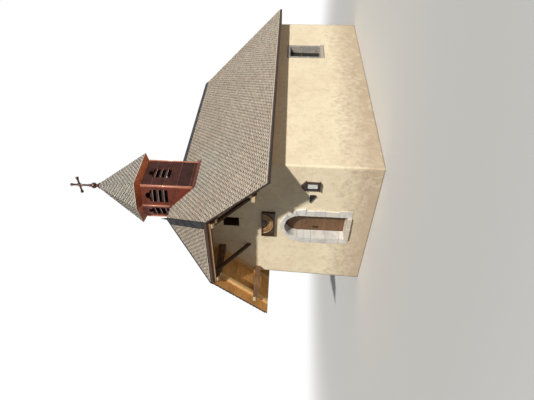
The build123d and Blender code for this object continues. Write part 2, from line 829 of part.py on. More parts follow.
def belfry():
    roof_body = nave_roof_body()
    low = roof_z(belfry_half_width) - belfry_skirt
    height = belfry_top - low
    outer = extrude(plan_face(hexagon(), low), amount=height)
    inner = extrude(plan_face(hexagon(-belfry_wall), low), amount=height)
    walls = outer - inner - roof_body
    slats = []
    step = louvre_height / louvre_count
    slat_run = slat_depth * cos(radians(slat_tilt))
    for middle, angle in belfry_faces():
        plane = face_place(middle, angle, belfry_top - louvre_drop - louvre_height)
        cut = extrude(plane * louvre_outline(), amount=slat_depth, both=True)
        walls -= cut
        for i in range(1, louvre_count):
            place = Pos(0, step * i, -slat_run / 2) * Rot(slat_tilt, 0, 0)
            slat = plane * (place * Box(louvre_width, slat_thickness, slat_depth))
            slats.append(slat & cut & outer)
    add("belfry_walls", walls)
    add("belfry_louvres", *slats)
    strips = []
    skin = extrude(plan_face(hexagon(strip_thickness), low), amount=height) - outer - roof_body
    for x, y in hexagon():
        strips.append(Pos(x, y, low + height / 2) * Cylinder(strip_width, height) & skin)
    add("belfry_corner_strips", *strips)
    apron = extrude(plan_face(hexagon(flashing_width)), amount=belfry_top)
    apron -= extrude(plan_face(hexagon()), amount=belfry_top)
    apron &= nave_roof_body(flashing_thickness) - roof_body
    for strip in strips:
        apron -= strip
    add("belfry_flashing", apron)


def spire_section(share):
    """Plan of the spire where it has shrunk to a share of its eave, about its own middle."""
    return [(x * share, belfry_middle + (y - belfry_middle) * share) for x, y in hexagon(spire_overhang)]


def spire():
    solid = frustum(spire_section(1), spire_eave_z, spire_section(tip_share), spire_apex_z)
    hollow = Pos(0, 0, -spire_shell) * solid
    add("spire_roof", solid - hollow)
    soffit = frustum(hexagon(), belfry_top, hexagon(spire_overhang), spire_eave_z)
    soffit -= extrude(plan_face(hexagon(-belfry_wall), belfry_top), amount=soffit_rise)
    add("spire_cornice", soffit)
    middle = (0, belfry_middle)
    cap_share = tip_share + (1 - tip_share) * cap_height / spire_height
    grow = cap_thickness / belfry_half_width
    cap = frustum(spire_section(cap_share + grow), spire_apex_z - cap_height,
                  spire_section(tip_share + grow), spire_apex_z + ball_sink)
    ball_z = spire_apex_z - ball_sink + ball_radius
    half_outline = [(0, ball_z - ball_radius)]
    bands = 8
    for i in range(1, bands):
        turn = radians(180 * i / bands)
        half_outline.append((ball_radius * sin(turn), ball_z - ball_radius * cos(turn)))
    half_outline.append((0, ball_z + ball_radius))
    ball = turned(half_outline, middle)
    add("spire_ball", cap + ball - solid)
    add("spire_cross", spire_cross(ball_z) - ball)


def knob(length):
    """A turned end of the cross, along Z from where the rod meets it."""
    r = cross_knob_radius
    return turned([(0, 0), (cross_rod_radius, 0), (r, length * 0.35), (r, length * 0.65), (r / 2, length),
                   (0, length)])


def spire_cross(ball_z):
    top = ball_z + cross_height
    arm_z = top - cross_arm_drop
    knob_length = 2 * cross_knob_radius
    foot = ball_z + ball_radius - ball_sink
    rod_top = top - knob_length
    cross = Pos(0, 0, (foot + rod_top) / 2) * Cylinder(cross_rod_radius, rod_top - foot)
    cross += Pos(0, 0, rod_top) * knob(knob_length)
    cross += turned([(0, foot), (cross_rod_radius, foot), (collar_radius, foot + collar_height * 0.3),
                     (collar_radius, foot + collar_height * 0.55), (cross_rod_radius, foot + collar_height),
                     (0, foot + collar_height)])
    rod_end = cross_half_span - cross_knob_radius
    cross += Pos(0, 0, arm_z) * Rot(0, 90, 0) * Cylinder(cross_rod_radius, 2 * rod_end)
    for turn in (-90, 90):
        cross += Pos(0, 0, arm_z) * Rot(0, turn, 0) * Pos(0, 0, rod_end) * knob(knob_length)
    for turn in (45, 135):
        cross += Pos(0, 0, arm_z) * Rot(0, turn, 0) * Cylinder(cross_ray_radius, 2 * cross_ray)
    return Pos(0, belfry_middle, 0) * cross


def roof_metal():
    wing = ridge_cap_width
    t = ridge_cap_thickness * sqrt(1 + slope ** 2)
    outline = [(-wing, roof_z(wing)), (0, ridge_height), (wing, roof_z(wing)), (wing, roof_z(wing) + t),
               (0, ridge_height + t), (-wing, roof_z(wing) + t)]
    start = hexagon(flashing_width)[3][1]
    length = apse_y - start
    add("ridge_cap", upright(outline, length, at=(0, start + length / 2)))
    # Everything under the porch's slopes, and the same again lifted by the sheet's thickness
    below, above = [porch_roof_body(lift) for lift in (0, hip_band_thickness)]
    sheet = above - below
    sheet &= block(-nave_width, nave_width, front_y, apex_y, 0, 2 * ridge_height)
    band = sheet & hip_cover(hip_band_width, hip_strip_width)
    strip = sheet & mirrored(hip_cover(hip_strip_width, hip_strip_width))
    add("half_hip_flashing", band + strip)
    foot = ridge_height - slope * spike_radius
    spike = turned([(0, foot), (spike_radius, foot), (spike_tip_radius, ridge_height + spike_height),
                    (0, ridge_height + spike_height)], peak)
    add("apex_spike", spike - above)


def hip_cover(front_width, side_width):
    """An upright strip over the half hip's right hip, with its width on each side of the hip's line."""
    offset = (front_width - side_width) / 2 * sqrt(0.5)
    reach = 2 * half_hip_x
    return upright([(0, 0), (reach, 0), (reach, 2 * ridge_height), (0, 2 * ridge_height)],
                   front_width + side_width, (peak[0] - offset, peak[1] - offset), front_hip_angles[0])


def porch_roof_body(lift):
    """Everything under the two slopes and the half hip, with their faces raised by a margin."""
    top = ridge_height + lift * sqrt(1 + slope ** 2)
    low = top - slope * half_width
    body = upright([(-half_width, low), (-half_width, 0), (half_width, 0), (half_width, low), (0, top)],
                   2 * nave_length)
    return body & upright([(front_y, top - slope * half_hip_x), (apex_y, top), (nave_length, top),
                           (nave_length, 0), (front_y, 0)], nave_width * 2, angle=90)


def garland_rim(top, share):
    """Points of a hanging half oval, as a share of the garland's own."""
    turns = [pi * (1 + i / garland_steps) for i in range(garland_steps + 1)]
    return [(garland_half_width * share * cos(t), top + garland_drop * share * sin(t)) for t in turns]


def front_fittings():
    z0 = arch_top + niche_gap
    z1 = z0 + niche_height
    half = niche_width / 2
    deep = front_face(z0) + niche_depth
    front = front_face(z0) - niche_depth
    back = front_face(z0) - niche_board
    top = z1 - niche_board
    box = block(-half, half, front, deep, z0, z1)
    box -= block(-half + niche_board, half - niche_board, front - 1, back, z0 + niche_board, top)
    add("niche_case", Pos(niche_middle, 0, 0) * box - outer_body)
    rim = garland_rim(top, 1) + garland_rim(top, garland_hole_share)[::-1]
    add("niche_garland", upright(rim, garland_thickness, at=(niche_middle, back - garland_thickness / 2)))
    add("notice_case", notice_case())
    t1 = sill_height + lamp_top
    t0 = t1 - lamp_height
    lamp = upright([(lamp_left, t1), (lamp_left + lamp_width, t1), (lamp_left + lamp_width, t0)],
                   2 * lamp_depth, at=(0, front_face(t1)))
    add("wall_lamp", lamp - outer_body)


def notice_case():
    """A glazed box for notices, with a small gabled roof and a ledge under it."""
    z0 = sill_height + case_bottom
    z1 = z0 + case_height
    half = case_width / 2
    wide = half + case_roof_reach
    front = front_face(z0) - case_depth
    deep = front_face(z0) + case_depth
    middle = (case_middle, (front + deep) / 2)
    outline = [(-half, z0), (half, z0), (half, z1), (0, z1 + case_roof_rise), (-half, z1)]
    case = upright(outline, deep - front, at=middle)
    case -= block(case_middle - half + case_board, case_middle + half - case_board, front - 1,
                  front + case_recess, z0 + case_board, z1 - case_board)
    drop = case_roof_rise * case_roof_reach / half
    eave = z1 - drop
    peak_z = z1 + case_roof_rise
    roof = [(-wide, eave), (0, peak_z), (wide, eave), (wide, eave + case_roof_thickness),
            (0, peak_z + case_roof_thickness), (-wide, eave + case_roof_thickness)]
    case += upright(roof, deep - front + 2 * case_roof_reach, at=middle)
    case += block(case_middle - wide, case_middle + wide, front - case_roof_reach, deep,
                  z0 - case_roof_thickness, z0)
    return case - outer_body


def main():
    os.makedirs("parts", exist_ok=True)
    front_walls()
    gable_wall()
    side_and_apse_walls()
    stone_floor()
    door_surround()
    door_leaf()
    windows()
    plate_ring = wall_plates()
    straight_purlins, purlin_ring = purlins()
    front_timbers = half_hip_timbers(straight_purlins)
    rows, apse = rafters()
    jacks = half_hip_rafters()
    pair = [rows[1], mirrored(rows[1])]
    last_pair = [rows[-1], mirrored(rows[-1])]
    hip_rafters(front_timbers + [jacks[1]] + pair + straight_purlins,
                [plate_ring, purlin_ring] + apse + last_pair)
    roof_slopes()
    belfry()
    spire()
    roof_metal()
    front_fittings()
    for name, shape in nodes.items():
        export_step(shape, f"parts/{name}.step")
    print(len(nodes), "nodes")


main()
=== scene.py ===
"""The looks of a small chapel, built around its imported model."""
import math
import random

import bpy
from mathutils import Matrix, Vector, noise


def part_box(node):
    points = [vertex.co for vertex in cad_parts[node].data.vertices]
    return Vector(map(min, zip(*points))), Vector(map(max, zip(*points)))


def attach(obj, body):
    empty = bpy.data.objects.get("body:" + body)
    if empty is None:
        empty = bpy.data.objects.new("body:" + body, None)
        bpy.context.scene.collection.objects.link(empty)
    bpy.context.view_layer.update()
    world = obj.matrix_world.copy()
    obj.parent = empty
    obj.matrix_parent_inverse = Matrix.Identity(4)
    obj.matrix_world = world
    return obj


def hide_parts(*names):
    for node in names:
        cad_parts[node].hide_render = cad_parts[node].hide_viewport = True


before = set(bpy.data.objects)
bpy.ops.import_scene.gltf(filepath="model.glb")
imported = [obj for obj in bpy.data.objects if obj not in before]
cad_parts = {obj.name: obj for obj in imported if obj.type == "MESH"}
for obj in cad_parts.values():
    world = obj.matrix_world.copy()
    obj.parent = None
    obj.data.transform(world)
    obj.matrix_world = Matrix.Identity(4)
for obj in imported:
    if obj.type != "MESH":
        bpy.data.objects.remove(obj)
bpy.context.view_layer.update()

# Main lines of the model, in metres, read from its nodes where they show them
PITCH = math.radians(47.3)
SLOPE = math.tan(PITCH)
COVER = 0.100                       # thickness of the roof's covering, measured upright
LEAN = 0.02                         # lean of the walls' outer faces, run over rise
roof_low, roof_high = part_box("roof_right")
EAVE_X = roof_high[0]
RIDGE_Z = roof_high[2]
FRONT_Y = roof_low[1]
APSE_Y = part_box("ridge_cap")[1][1]
HIP_X, PEAK_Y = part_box("roof_half_hip")[1][:2]
EAVE_Z = RIDGE_Z - SLOPE * EAVE_X
HIP_Z = RIDGE_Z - SLOPE * HIP_X
HALF_TURN = math.tan(math.radians(22.5))
CORNER = EAVE_X * HALF_TURN
FOUNDATION_Z, SILL_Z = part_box("door_threshold")[0][2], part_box("door_threshold")[1][2]
HALF_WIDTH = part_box("front_wall_right")[1][0]
FOOT_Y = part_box("front_wall_left")[0][1]
WALL_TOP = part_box("front_wall_left")[1][2]
WALL = 0.620                        # thickness of the walls at their foot
DOOR_HALF = 0.540                   # the doorway's clear half width
RING_HALF = 0.870                   # outer half width of its stone surround
SPRING_Z = SILL_Z + 1.600
RING_Z = SPRING_Z - 0.170
REVEAL = 0.370                      # depth of the doorway's stones behind the wall's face
BUILDING = "building"
DOOR = "door"
WHITE = (1, 1, 1, 1)
UP = Vector((0, 0, 1))
FACING_FRONT = Matrix.Rotation(math.radians(90), 4, "X")


# Helpers for meshes

def mesh_object(name, verts, faces, look, slot, nodes=(), uvs=None, tints=None, body=BUILDING, smooth=False,
                bevel=None):
    """An object from lists. uvs holds each face's UVs, and tints its colour or its corners' colours.

    slot is not used, nodes the ones that it stands for, and bevel the width and the
    segments of its rounded edges.
    """
    mesh = bpy.data.meshes.new(name)
    mesh.from_pydata([tuple(v) for v in verts], [], faces)
    if uvs:
        layer = mesh.uv_layers.new(name="UVMap")
        layer.data.foreach_set("uv", [c for face in uvs for uv in face for c in uv])
    colours = mesh.color_attributes.new(name="tint", type="FLOAT_COLOR", domain="CORNER")
    flat = []
    for i, face in enumerate(faces):
        tint = tints[i] if tints else WHITE
        for corner in (tint if isinstance(tint[0], tuple) else [tint] * len(face)):
            flat += corner
    colours.data.foreach_set("color", flat)
    if smooth:
        mesh.polygons.foreach_set("use_smooth", [True] * len(mesh.polygons))
    mesh.update()
    obj = bpy.data.objects.new(name, mesh)
    bpy.context.scene.collection.objects.link(obj)
    obj.data.materials.append(M[look])
    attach(obj, body)
    if bevel:
        edges = obj.modifiers.new("edges", "BEVEL")
        edges.width, edges.segments = bevel
        edges.limit_method = "ANGLE"
        edges.angle_limit = math.radians(35)
    if nodes:
        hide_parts(*nodes)


class Parts:
    """Collects many small closed bodies into one mesh."""

    def __init__(self):
        self.verts, self.faces, self.uvs, self.tints = [], [], [], []

    def face(self, corners, uv, tint):
        self.faces.append(corners)
        self.uvs.append(uv)
        self.tints.append(tint)

    def prism(self, low, high, uv, tint=WHITE, shares=None, edges=None):
        """A body between two outlines with as many points; uv holds each point's UV.

        shares holds a number for each point, which goes into the tint's fourth channel, and edges the painted
        shade of each side, as a share of the tint.
        """
        n = len(low)
        k = len(self.verts)
        self.verts += low + high
        self.face(list(reversed(range(k, k + n))), list(reversed(uv)), tint)
        top_tint = [(*tint[:3], share) for share in shares] if shares else tint
        self.face(list(range(k + n, k + 2 * n)), uv, top_tint)
        for i in range(n):
            # Painted shade: each side's tint is darkened by its share
            tone = edges[i] if edges else 1.0
            j = (i + 1) % n
            depth = (high[i] - low[i]).length
            side = [uv[i], uv[j], (uv[j][0] + depth, uv[j][1]), (uv[i][0] + depth, uv[i][1])]
            side_tint = (tint[0] * tone, tint[1] * tone, tint[2] * tone, 0.0)
            self.face([k + i, k + j, k + n + j, k + n + i], side, side_tint)

    def box(self, low, high, tint=WHITE, grain=0, turn=None):
        """A box whose UV's second axis runs with the grain; turn is a matrix for its corners."""
        corners = [(x, y, z) for z in (low[2], high[2]) for x, y in
                   ((low[0], low[1]), (high[0], low[1]), (high[0], high[1]), (low[0], high[1]))]
        k = len(self.verts)
        self.verts += [turn @ Vector(c) if turn else Vector(c) for c in corners]
        a, b = [axis for axis in range(3) if axis != grain]
        for face in ((3, 2, 1, 0), (4, 5, 6, 7), (0, 1, 5, 4), (1, 2, 6, 5), (2, 3, 7, 6), (3, 0, 4, 7)):
            uv = [(corners[i][a] + corners[i][b], corners[i][grain]) for i in face]
            self.face([k + i for i in face], uv, tint)

    def ring(self, steps, point):
        """Adds a ring of points, each from its angle; returns their numbers."""
        first = len(self.verts)
        self.verts += [point(2 * math.pi * i / steps) for i in range(steps)]
        return list(range(first, first + steps))

    def join(self, rings, steps, rise):
        """Faces between rings of points, and fans where a ring is a single one."""
        for row, (low, high) in enumerate(zip(rings, rings[1:])):
            v0, v1 = row * rise, (row + 1) * rise
            for i in range(steps):
                j = (i + 1) % steps
                corners = (low[i % len(low)], low[j % len(low)], high[j % len(high)], high[i % len(high)])
                corners = list(dict.fromkeys(corners))
                if len(corners) > 2:
                    uv = [(i / steps, v0), (j / steps, v0), (j / steps, v1), (i / steps, v1)]
                    self.face(corners, uv[:len(corners)], WHITE)

    def lathe(self, profile, place, steps=24):
        """A turned body about the local Z axis, from (radius, height) points that end on the axis."""
        rings = []
        for r, z in profile:
            def spot(a, r=r, z=z):
                return place @ Vector((r * math.cos(a), r * math.sin(a), z))

            rings.append(self.ring(steps if r else 1, spot))
        self.join(rings, steps, 0.1)

    def stud(self, profile, spot, steps):
        """A turned body that faces the front."""
        self.lathe(profile, Matrix.Translation(spot) @ FACING_FRONT, steps)

    def tube(self, path, radius, steps=8):
        """A round bar along a closed path in an upright plane."""
        rings = []
        for i, p in enumerate(path):
            ahead = (path[(i + 1) % len(path)] - path[i - 1]).normalized()
            side = ahead.cross(Vector((0, 1, 0))).normalized()
            up = side.cross(ahead)
            rings.append(self.ring(steps, lambda a: p + (side * math.cos(a) + up * math.sin(a)) * radius))
        self.join(rings + rings[:1], steps, 1)

    def build(self, name, look, slot, *nodes, **settings):
        mesh_object(name, self.verts, self.faces, look, slot, nodes, self.uvs, self.tints, **settings)


def pairs(points):
    """Each point of a closed outline with the next one."""
    return zip(points, points[1:] + points[:1])


def clipped(points, outline):
    """The part of a polygon inside a convex one, both counter-clockwise lists of (s, t)."""
    result = points
    for a, b in pairs(outline):
        edge = (b[0] - a[0], b[1] - a[1])
        kept = []
        for p, q in pairs(result):
            dp = edge[0] * (p[1] - a[1]) - edge[1] * (p[0] - a[0])
            dq = edge[0] * (q[1] - a[1]) - edge[1] * (q[0] - a[0])
            if dp >= 0:
                kept.append(p)
            if dp * dq < 0:
                share = dp / (dp - dq)
                kept.append((p[0] + (q[0] - p[0]) * share, p[1] + (q[1] - p[1]) * share))
        result = kept
        if len(result) < 3:
            return []
    return result


def area(points):
    return abs(sum(a[0] * b[1] - b[0] * a[1] for a, b in pairs(points)) / 2)


class Slope:
    """A sloping polygon with its own axes: s along the eave, t up the slope and n outward."""

    def __init__(self, corners, sink):
        points = [Vector(c) for c in corners]
        self.origin = points[0].copy()
        self.s = (points[1] - points[0]).normalized()
        self.n = sum((p.cross(q) for p, q in pairs(points)), Vector((0, 0, 0))).normalized()
        self.t = self.n.cross(self.s).normalized()
        self.outline = [((c - self.origin).dot(self.s), (c - self.origin).dot(self.t)) for c in points]
        across = [s for s, t in self.outline]
        self.left, self.right = min(across), max(across)
        self.top = max(t for s, t in self.outline)
        self.sink = sink

    def at(self, point, height):
        """A point of the slope, at a height over the covering's lower face and never above its upper one."""
        rise = min(height, self.sink) - self.sink
        return self.origin + self.s * point[0] + self.t * point[1] + self.n * rise

    def plumb(self, point, height):
        """The same, but moved straight up, so that edges stay plumb over one another."""
        lift = (height - self.sink) / self.n.z
        return self.origin + self.s * point[0] + self.t * point[1] + UP * lift

    def plate(self, parts, points, base, top, uv, tint=WHITE):
        """A plate with plumb edges over a part of the slope."""
        parts.prism([self.plumb(p, base) for p in points], [self.plumb(p, top) for p in points], uv, tint)


def tinted(rng, spread=0.12, warm=0.03):
    """A tint near white, darker or lighter and a little warmer or cooler."""
    v = 1 + rng.uniform(-spread, spread)
    w = rng.uniform(-warm, warm)
    return (v * (1 + w), v, v * (1 - w), 1.0)


SHINGLE_REACH = 2.3                 # length of a shingle, in exposures
BUTT_SHADE, NOTCH_SHADE = 0.68, 0.10  # painted shade of a shingle's butt and of its notches' sides, beside its face
WOBBLE = 0.003                      # how far a shingle lies off its place
SIDE_GAPS = (0.002, 0.004)          # least and most that a shingle keeps clear of its cell's sides
TIP = 0.003                         # thickness left at a shingle's upper end
LEAST_PIECE = 0.0004                # smaller cuttings of shingles, in square metres, are left out


def lay_shingles(parts, slope, exposure, width, base, thick, notch, rng, worn=0.0):
    """Courses of shingles, each course half a width along. Each one lies on the course below it.

    notch holds the width cut off each lower corner, in shingle widths, and its height, in exposures. One in
    ten stands up to worn proud of its course.
    """
    length = exposure * SHINGLE_REACH
    point_width, point_height = width * notch[0], exposure * notch[1]
    for course in range(math.ceil((slope.top - 0.01) / exposure)):
        t = course * exposure
        start = slope.left - width * (0.5 if course % 2 else 0.0)
        low_end = thick * (1 - 1 / SHINGLE_REACH) if course else 0.0
        for i in range(math.ceil((slope.right - start) / width)):
            x = start + i * width + rng.uniform(-WOBBLE, WOBBLE)
            gap = rng.uniform(*SIDE_GAPS)
            cut = point_width * rng.uniform(0.92, 1.06)
            rise = point_height * rng.uniform(0.94, 1.06)
            foot = t + (rng.uniform(-WOBBLE, WOBBLE) if course else 0.0)
            far = t + length
            left, right = x + gap, x + width - gap
            if course == 0:
                cut, rise = 0.004, 0.004
            cell = [(left, foot + rise), (left + cut, foot), (right - cut, foot), (right, foot + rise),
                    (right, far), (left, far)]
            piece = clipped(cell, slope.outline)
            lift = rng.uniform(-0.0015, 0.0015) + (rng.uniform(0, worn) if rng.random() < 0.10 else 0)
            lean = rng.uniform(-0.015, 0.015)
            tint = tinted(rng, 0.12, 0.04)
            if not piece or area(piece) <= LEAST_PIECE:
                continue
            low, high, uv, shares, edges = [], [], [], [], []
            for p, q in pairs(piece):
                along = (p[1] - t) / length
                share = min(1, max(0, along))
                side = (p[0] - x - width / 2) * lean
                under = base + low_end * (1 - share)
                over = base + (thick + lift + side) * (1 - share) + TIP
                low.append(slope.at(p, under))
                high.append(slope.at(p, max(over, under + 0.002)))
                uv.append((p[0] + course * 3.7, p[1] + x * 5.3))
                shares.append(along)
                # Painted shade: the butt side is painted darker than the face, and the notches' sides much
                # darker
                edges.append(BUTT_SHADE if abs(q[1] - p[1]) < 0.1 * abs(q[0] - p[0]) else NOTCH_SHADE)
            parts.prism(low, high, uv, tint, shares, edges)


def rims(slope, corners, width):
    """Strips along a slope's eave and verge, and the outline that they leave inside them."""
    strips = []
    inside = slope.outline
    for (a, b), (start, end) in zip(pairs(slope.outline), pairs(corners)):
        eave = start[2] == end[2] < RIDGE_Z
        verge = start[1] == end[1] == FRONT_Y
        if eave or verge:
            length = math.hypot(b[0] - a[0], b[1] - a[1])
            inward = ((a[1] - b[1]) / length * width, (b[0] - a[0]) / length * width)
            moved = [(p[0] + inward[0], p[1] + inward[1]) for p in slope.outline]
            far_a, far_b = (a[0] + inward[0], a[1] + inward[1]), (b[0] + inward[0], b[1] + inward[1])
            strips.append(clipped([a, b, far_b, far_a], slope.outline))
            inside = clipped(inside, moved)
    return strips, inside


# Helpers for materials

class Nodes:
    """A node tree and short ways to add to it. Each input is a value or another node's output."""

    def __init__(self, owner):
        owner.use_nodes = True
        self.tree = owner.node_tree
        self.tree.nodes.clear()

    def fill(self, made, inputs):
        for key, value in inputs.items():
            if isinstance(value, bpy.types.NodeSocket):
                self.tree.links.new(value, made.inputs[key])
            else:
                made.inputs[key].default_value = value

    def add(self, kind, inputs=None, **settings):
        made = self.tree.nodes.new("ShaderNode" + kind)
        for key, value in settings.items():
            setattr(made, key, value)
        self.fill(made, inputs or {})
        return made

    def place(self, stretch=(1, 1, 1), shift=(0, 0, 0), turn=(0, 0, 0), source="Object"):
        """Texture coordinates, turned, stretched on each axis and shifted."""
        coords = self.add("TexCoord").outputs[source]
        if any(turn):
            coords = self.add("Mapping", {"Vector": coords, "Rotation": turn}).outputs[0]
        return self.add("Mapping", {"Vector": coords, "Scale": stretch, "Location": shift}).outputs[0]

    def noise(self, scale, detail, rough, distortion=0.0, **where):
        return self.add("TexNoise", {"Vector": self.place(**where), "Scale": scale, "Detail": detail,
                                     "Roughness": rough, "Distortion": distortion}).outputs[0]

    def cells(self, scale, inputs=None, feature="F1", **where):
        return self.add("TexVoronoi", {"Vector": self.place(**where), "Scale": scale, **(inputs or {})},
                        feature=feature).outputs

    def maths(self, operation, a, b=0.0):
        return self.add("Math", {0: a, 1: b}, operation=operation).outputs[0]

    def times(self, a, b):
        return self.maths("MULTIPLY", a, b)

    def plus(self, a, b):
        return self.maths("ADD", a, b)

    def axis(self, vector, number):
        return self.add("SeparateXYZ", {0: vector}).outputs[number]

    def true_normal(self):
        return self.add("NewGeometry").outputs["True Normal"]

    def tint(self, channel="Color"):
        return self.add("Attribute", attribute_name="tint").outputs[channel]

    def ramp(self, value, *marks, mode="LINEAR"):
        """A colour ramp; marks are (place, colour), and a number stands for a grey."""
        made = self.add("ValToRGB", {"Fac": value})
        made.color_ramp.interpolation = mode
        elements = made.color_ramp.elements
        for i, (place, colour) in enumerate(marks):
            element = elements[i] if i < 2 else elements.new(place)
            element.position = place
            element.color = (*colour, 1) if isinstance(colour, (tuple, list)) else (colour, colour, colour, 1)
        return made.outputs[0]

    def ramp_along(self, value, span, *marks, **settings):
        """A ramp whose marks are shares of a span."""
        return self.ramp(self.maths("DIVIDE", value, span), *marks, **settings)

    def mix(self, a, b, factor=1.0, mode="MIX"):
        a, b = (c if isinstance(c, bpy.types.NodeSocket) else (*c, 1) for c in (a, b))
        return self.add("Mix", {0: factor, 6: a, 7: b}, data_type="RGBA", blend_type=mode).outputs[2]

    def over(self, colour, other, value, *marks):
        """Another colour over one, where a ramp of the value says so."""
        return self.mix(colour, other, self.ramp(value, *marks))

    def multiplied(self, colour, other):
        return self.mix(colour, other, 1.0, "MULTIPLY")

    def seen_directly(self):
        """1 for rays that show a surface or the world as a picture, 0 for rays that light things."""
        path = self.add("LightPath").outputs
        rest = self.maths("MAXIMUM", path["Is Glossy Ray"], path["Is Transmission Ray"])
        return self.maths("MAXIMUM", path["Is Camera Ray"], rest)


M = {}


class Look(Nodes):
    """A material, kept in M under its name."""

    def __init__(self, name):
        M[name] = bpy.data.materials.new(name)
        super().__init__(M[name])
        self.out = self.add("OutputMaterial")
        self.shader = self.add("BsdfPrincipled")
        self.fill(self.out, {0: self.shader.outputs[0]})

    def finish(self, colour, rough, height=None, strength=0.0, distance=0.0, metallic=0.0, shine=0.5):
        self.fill(self.shader, {"Base Color": colour, "Specular IOR Level": shine, "Roughness": rough,
                                "Metallic": metallic})
        if height is not None:
            bump = self.add("Bump", {"Height": height, "Strength": strength, "Distance": distance})
            self.fill(self.shader, {"Normal": bump.outputs[0]})


def scaled(colour, share):
    return tuple(min(1, c * share) for c in colour)


BELFRY_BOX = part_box("belfry_walls")
BELFRY_Y = (BELFRY_BOX[0][1] + BELFRY_BOX[1][1]) / 2
SHEET = 0.46                        # height of the copper sheets
GRAIN_SCALES = {"X": ((1, 14, 14), (4, 120, 120)), "Y": ((14, 1, 14), (120, 4, 120)),
                "Z": ((14, 14, 1), (120, 120, 4))}


def wood(name, light, dark, source="Object", grain="X", tint=False, rough=0.65, knots=True, wear=None,
         turn=(0, 0, 0), ends=None):
    """Sawn wood with its grain along one axis of the coordinates; ends is the colour of its cut ends on Y."""
    look = Look(name)
    along, fine = GRAIN_SCALES[grain]
    where = {"source": source, "turn": turn}
    rings = look.noise(1.6, 5, 0.62, 0.7, stretch=along, **where)
    fibre = look.noise(1.0, 3, 0.6, stretch=fine, **where)
    broad = look.noise(1.3, 3, 0.5, stretch=(1.1, 1.1, 1.1), **where)
    colour = look.ramp(rings, (0.30, dark), (0.52, light), (0.60, scaled(light, 0.86)), (0.74, light))
    colour = look.over(colour, scaled(dark, 0.62), fibre, (0.35, 0.55), (0.62, 0.0))
    colour = look.over(colour, scaled(dark, 0.55), broad, (0.55, 0.0), (0.80, 0.5))
    if knots:
        spots = look.cells(1.5, stretch=[a * 0.16 for a in along], **where)[0]
        colour = look.over(colour, scaled(dark, 0.35), spots, (0.03, 0.75), (0.10, 0.0))
    if wear:
        patches = look.noise(1.0, 5, 0.6, stretch=(2.1, 2.1, 2.1), shift=(5, 2, 1), **where)
        colour = look.over(colour, wear, patches, (0.48, 0.0), (0.66, 0.7))
    if ends:
        facing = look.maths("ABSOLUTE", look.axis(look.true_normal(), 1))
        rounds = look.noise(26, 3, 0.6, 1.5, **where)
        cut = look.over(ends, scaled(ends, 0.78), rounds, (0.40, 0.0), (0.60, 1.0))
        colour = look.over(colour, cut, facing, (0.22, 0.0), (0.42, 1.0))
    if tint:
        colour = look.multiplied(colour, look.tint())
    look.finish(colour, rough, look.plus(look.times(rings, 0.5), look.times(fibre, 0.5)), 0.45, 0.003)


DAMP_SPAN, BARE_SPAN = 2.4, 2.0     # heights over the ground that stand for 1 in the ramps of damp and rubble


def plaster(name, base, shade, stain):
    """Rough lime render, with a trowelled relief, stains and bare stony patches near the ground."""
    look = Look(name)
    broad = look.noise(0.9, 5, 0.6, 0.4)
    middle = look.noise(5.5, 5, 0.62, 0.3, shift=(7, 3, 1))
    grit = look.noise(60, 4, 0.65, shift=(2, 9, 4))
    lumps = look.cells(11.0, {"Smoothness": 0.7}, "SMOOTH_F1")[0]
    colour = look.ramp(broad, (0.30, scaled(shade, 1.12)), (0.52, base), (0.75, scaled(base, 1.04)))
    colour = look.over(colour, shade, middle, (0.32, 0.65), (0.52, 0.0))
    colour = look.over(colour, scaled(shade, 0.66), grit, (0.32, 0.7), (0.45, 0.0))
    # Splash and damp near the ground
    uneven = look.times(look.maths("SUBTRACT", middle, 0.5), 1.7)
    low = look.plus(look.axis(look.place(), 2), uneven)
    damp = look.ramp_along(low, DAMP_SPAN, (0.12, 1.0), (0.60, 0.0))
    strength = look.plus(0.45, look.times(broad, 0.70))
    colour = look.mix(colour, stain, look.times(damp, strength))
    # Bare patches show the rubble and its mortar
    nearness, own_colour = look.cells(4.2, {"Randomness": 0.9}, stretch=(1, 1, 1.5))[:2]
    kind = look.add("SeparateColor", {"Color": own_colour}).outputs[0]
    rubble = look.ramp(kind, (0.0, (0.22, 0.18, 0.16)), (0.45, (0.36, 0.29, 0.23)), (1.0, (0.46, 0.25, 0.17)))
    rubble = look.over(rubble, (0.66, 0.56, 0.42), nearness, (0.10, 0.0), (0.17, 1.0))
    patch = look.noise(1.9, 5, 0.7, 0.5, shift=(11, 5, 2))
    bare = look.times(look.ramp(patch, (0.55, 0.0), (0.60, 0.8)),
                      look.ramp_along(low, BARE_SPAN, (0.10, 1.0), (0.50, 0.0)))
    colour = look.mix(colour, rubble, bare)
    fine = look.plus(look.times(lumps, 0.35), look.times(grit, 0.22))
    look.finish(colour, 0.93, look.plus(middle, fine), 0.75, 0.012)


def stone_look(name, base, shade, warm):
    """Tooled limestone with lichen spots; each piece has its own tint."""
    look = Look(name)
    broad = look.noise(2.2, 5, 0.6, 0.5, shift=(1, 6, 3))
    fine = look.noise(42, 4, 0.68)
    tool = look.noise(1.0, 3, 0.6, stretch=(60, 60, 13))
    spots = look.noise(14, 5, 0.7, shift=(3, 3, 8))
    colour = look.ramp(broad, (0.28, shade), (0.50, base), (0.72, warm))
    colour = look.over(colour, scaled(shade, 0.6), fine, (0.30, 0.6), (0.46, 0.0))
    colour = look.over(colour, (0.80, 0.77, 0.69), spots, (0.58, 0.0), (0.68, 0.8))
    colour = look.multiplied(colour, look.tint())
    look.finish(colour, 0.86, look.plus(look.times(fine, 0.6), look.times(tool, 0.4)), 0.5, 0.004)


RUNOFF = 3.0                        # metres from the belfry over which its run-off is measured


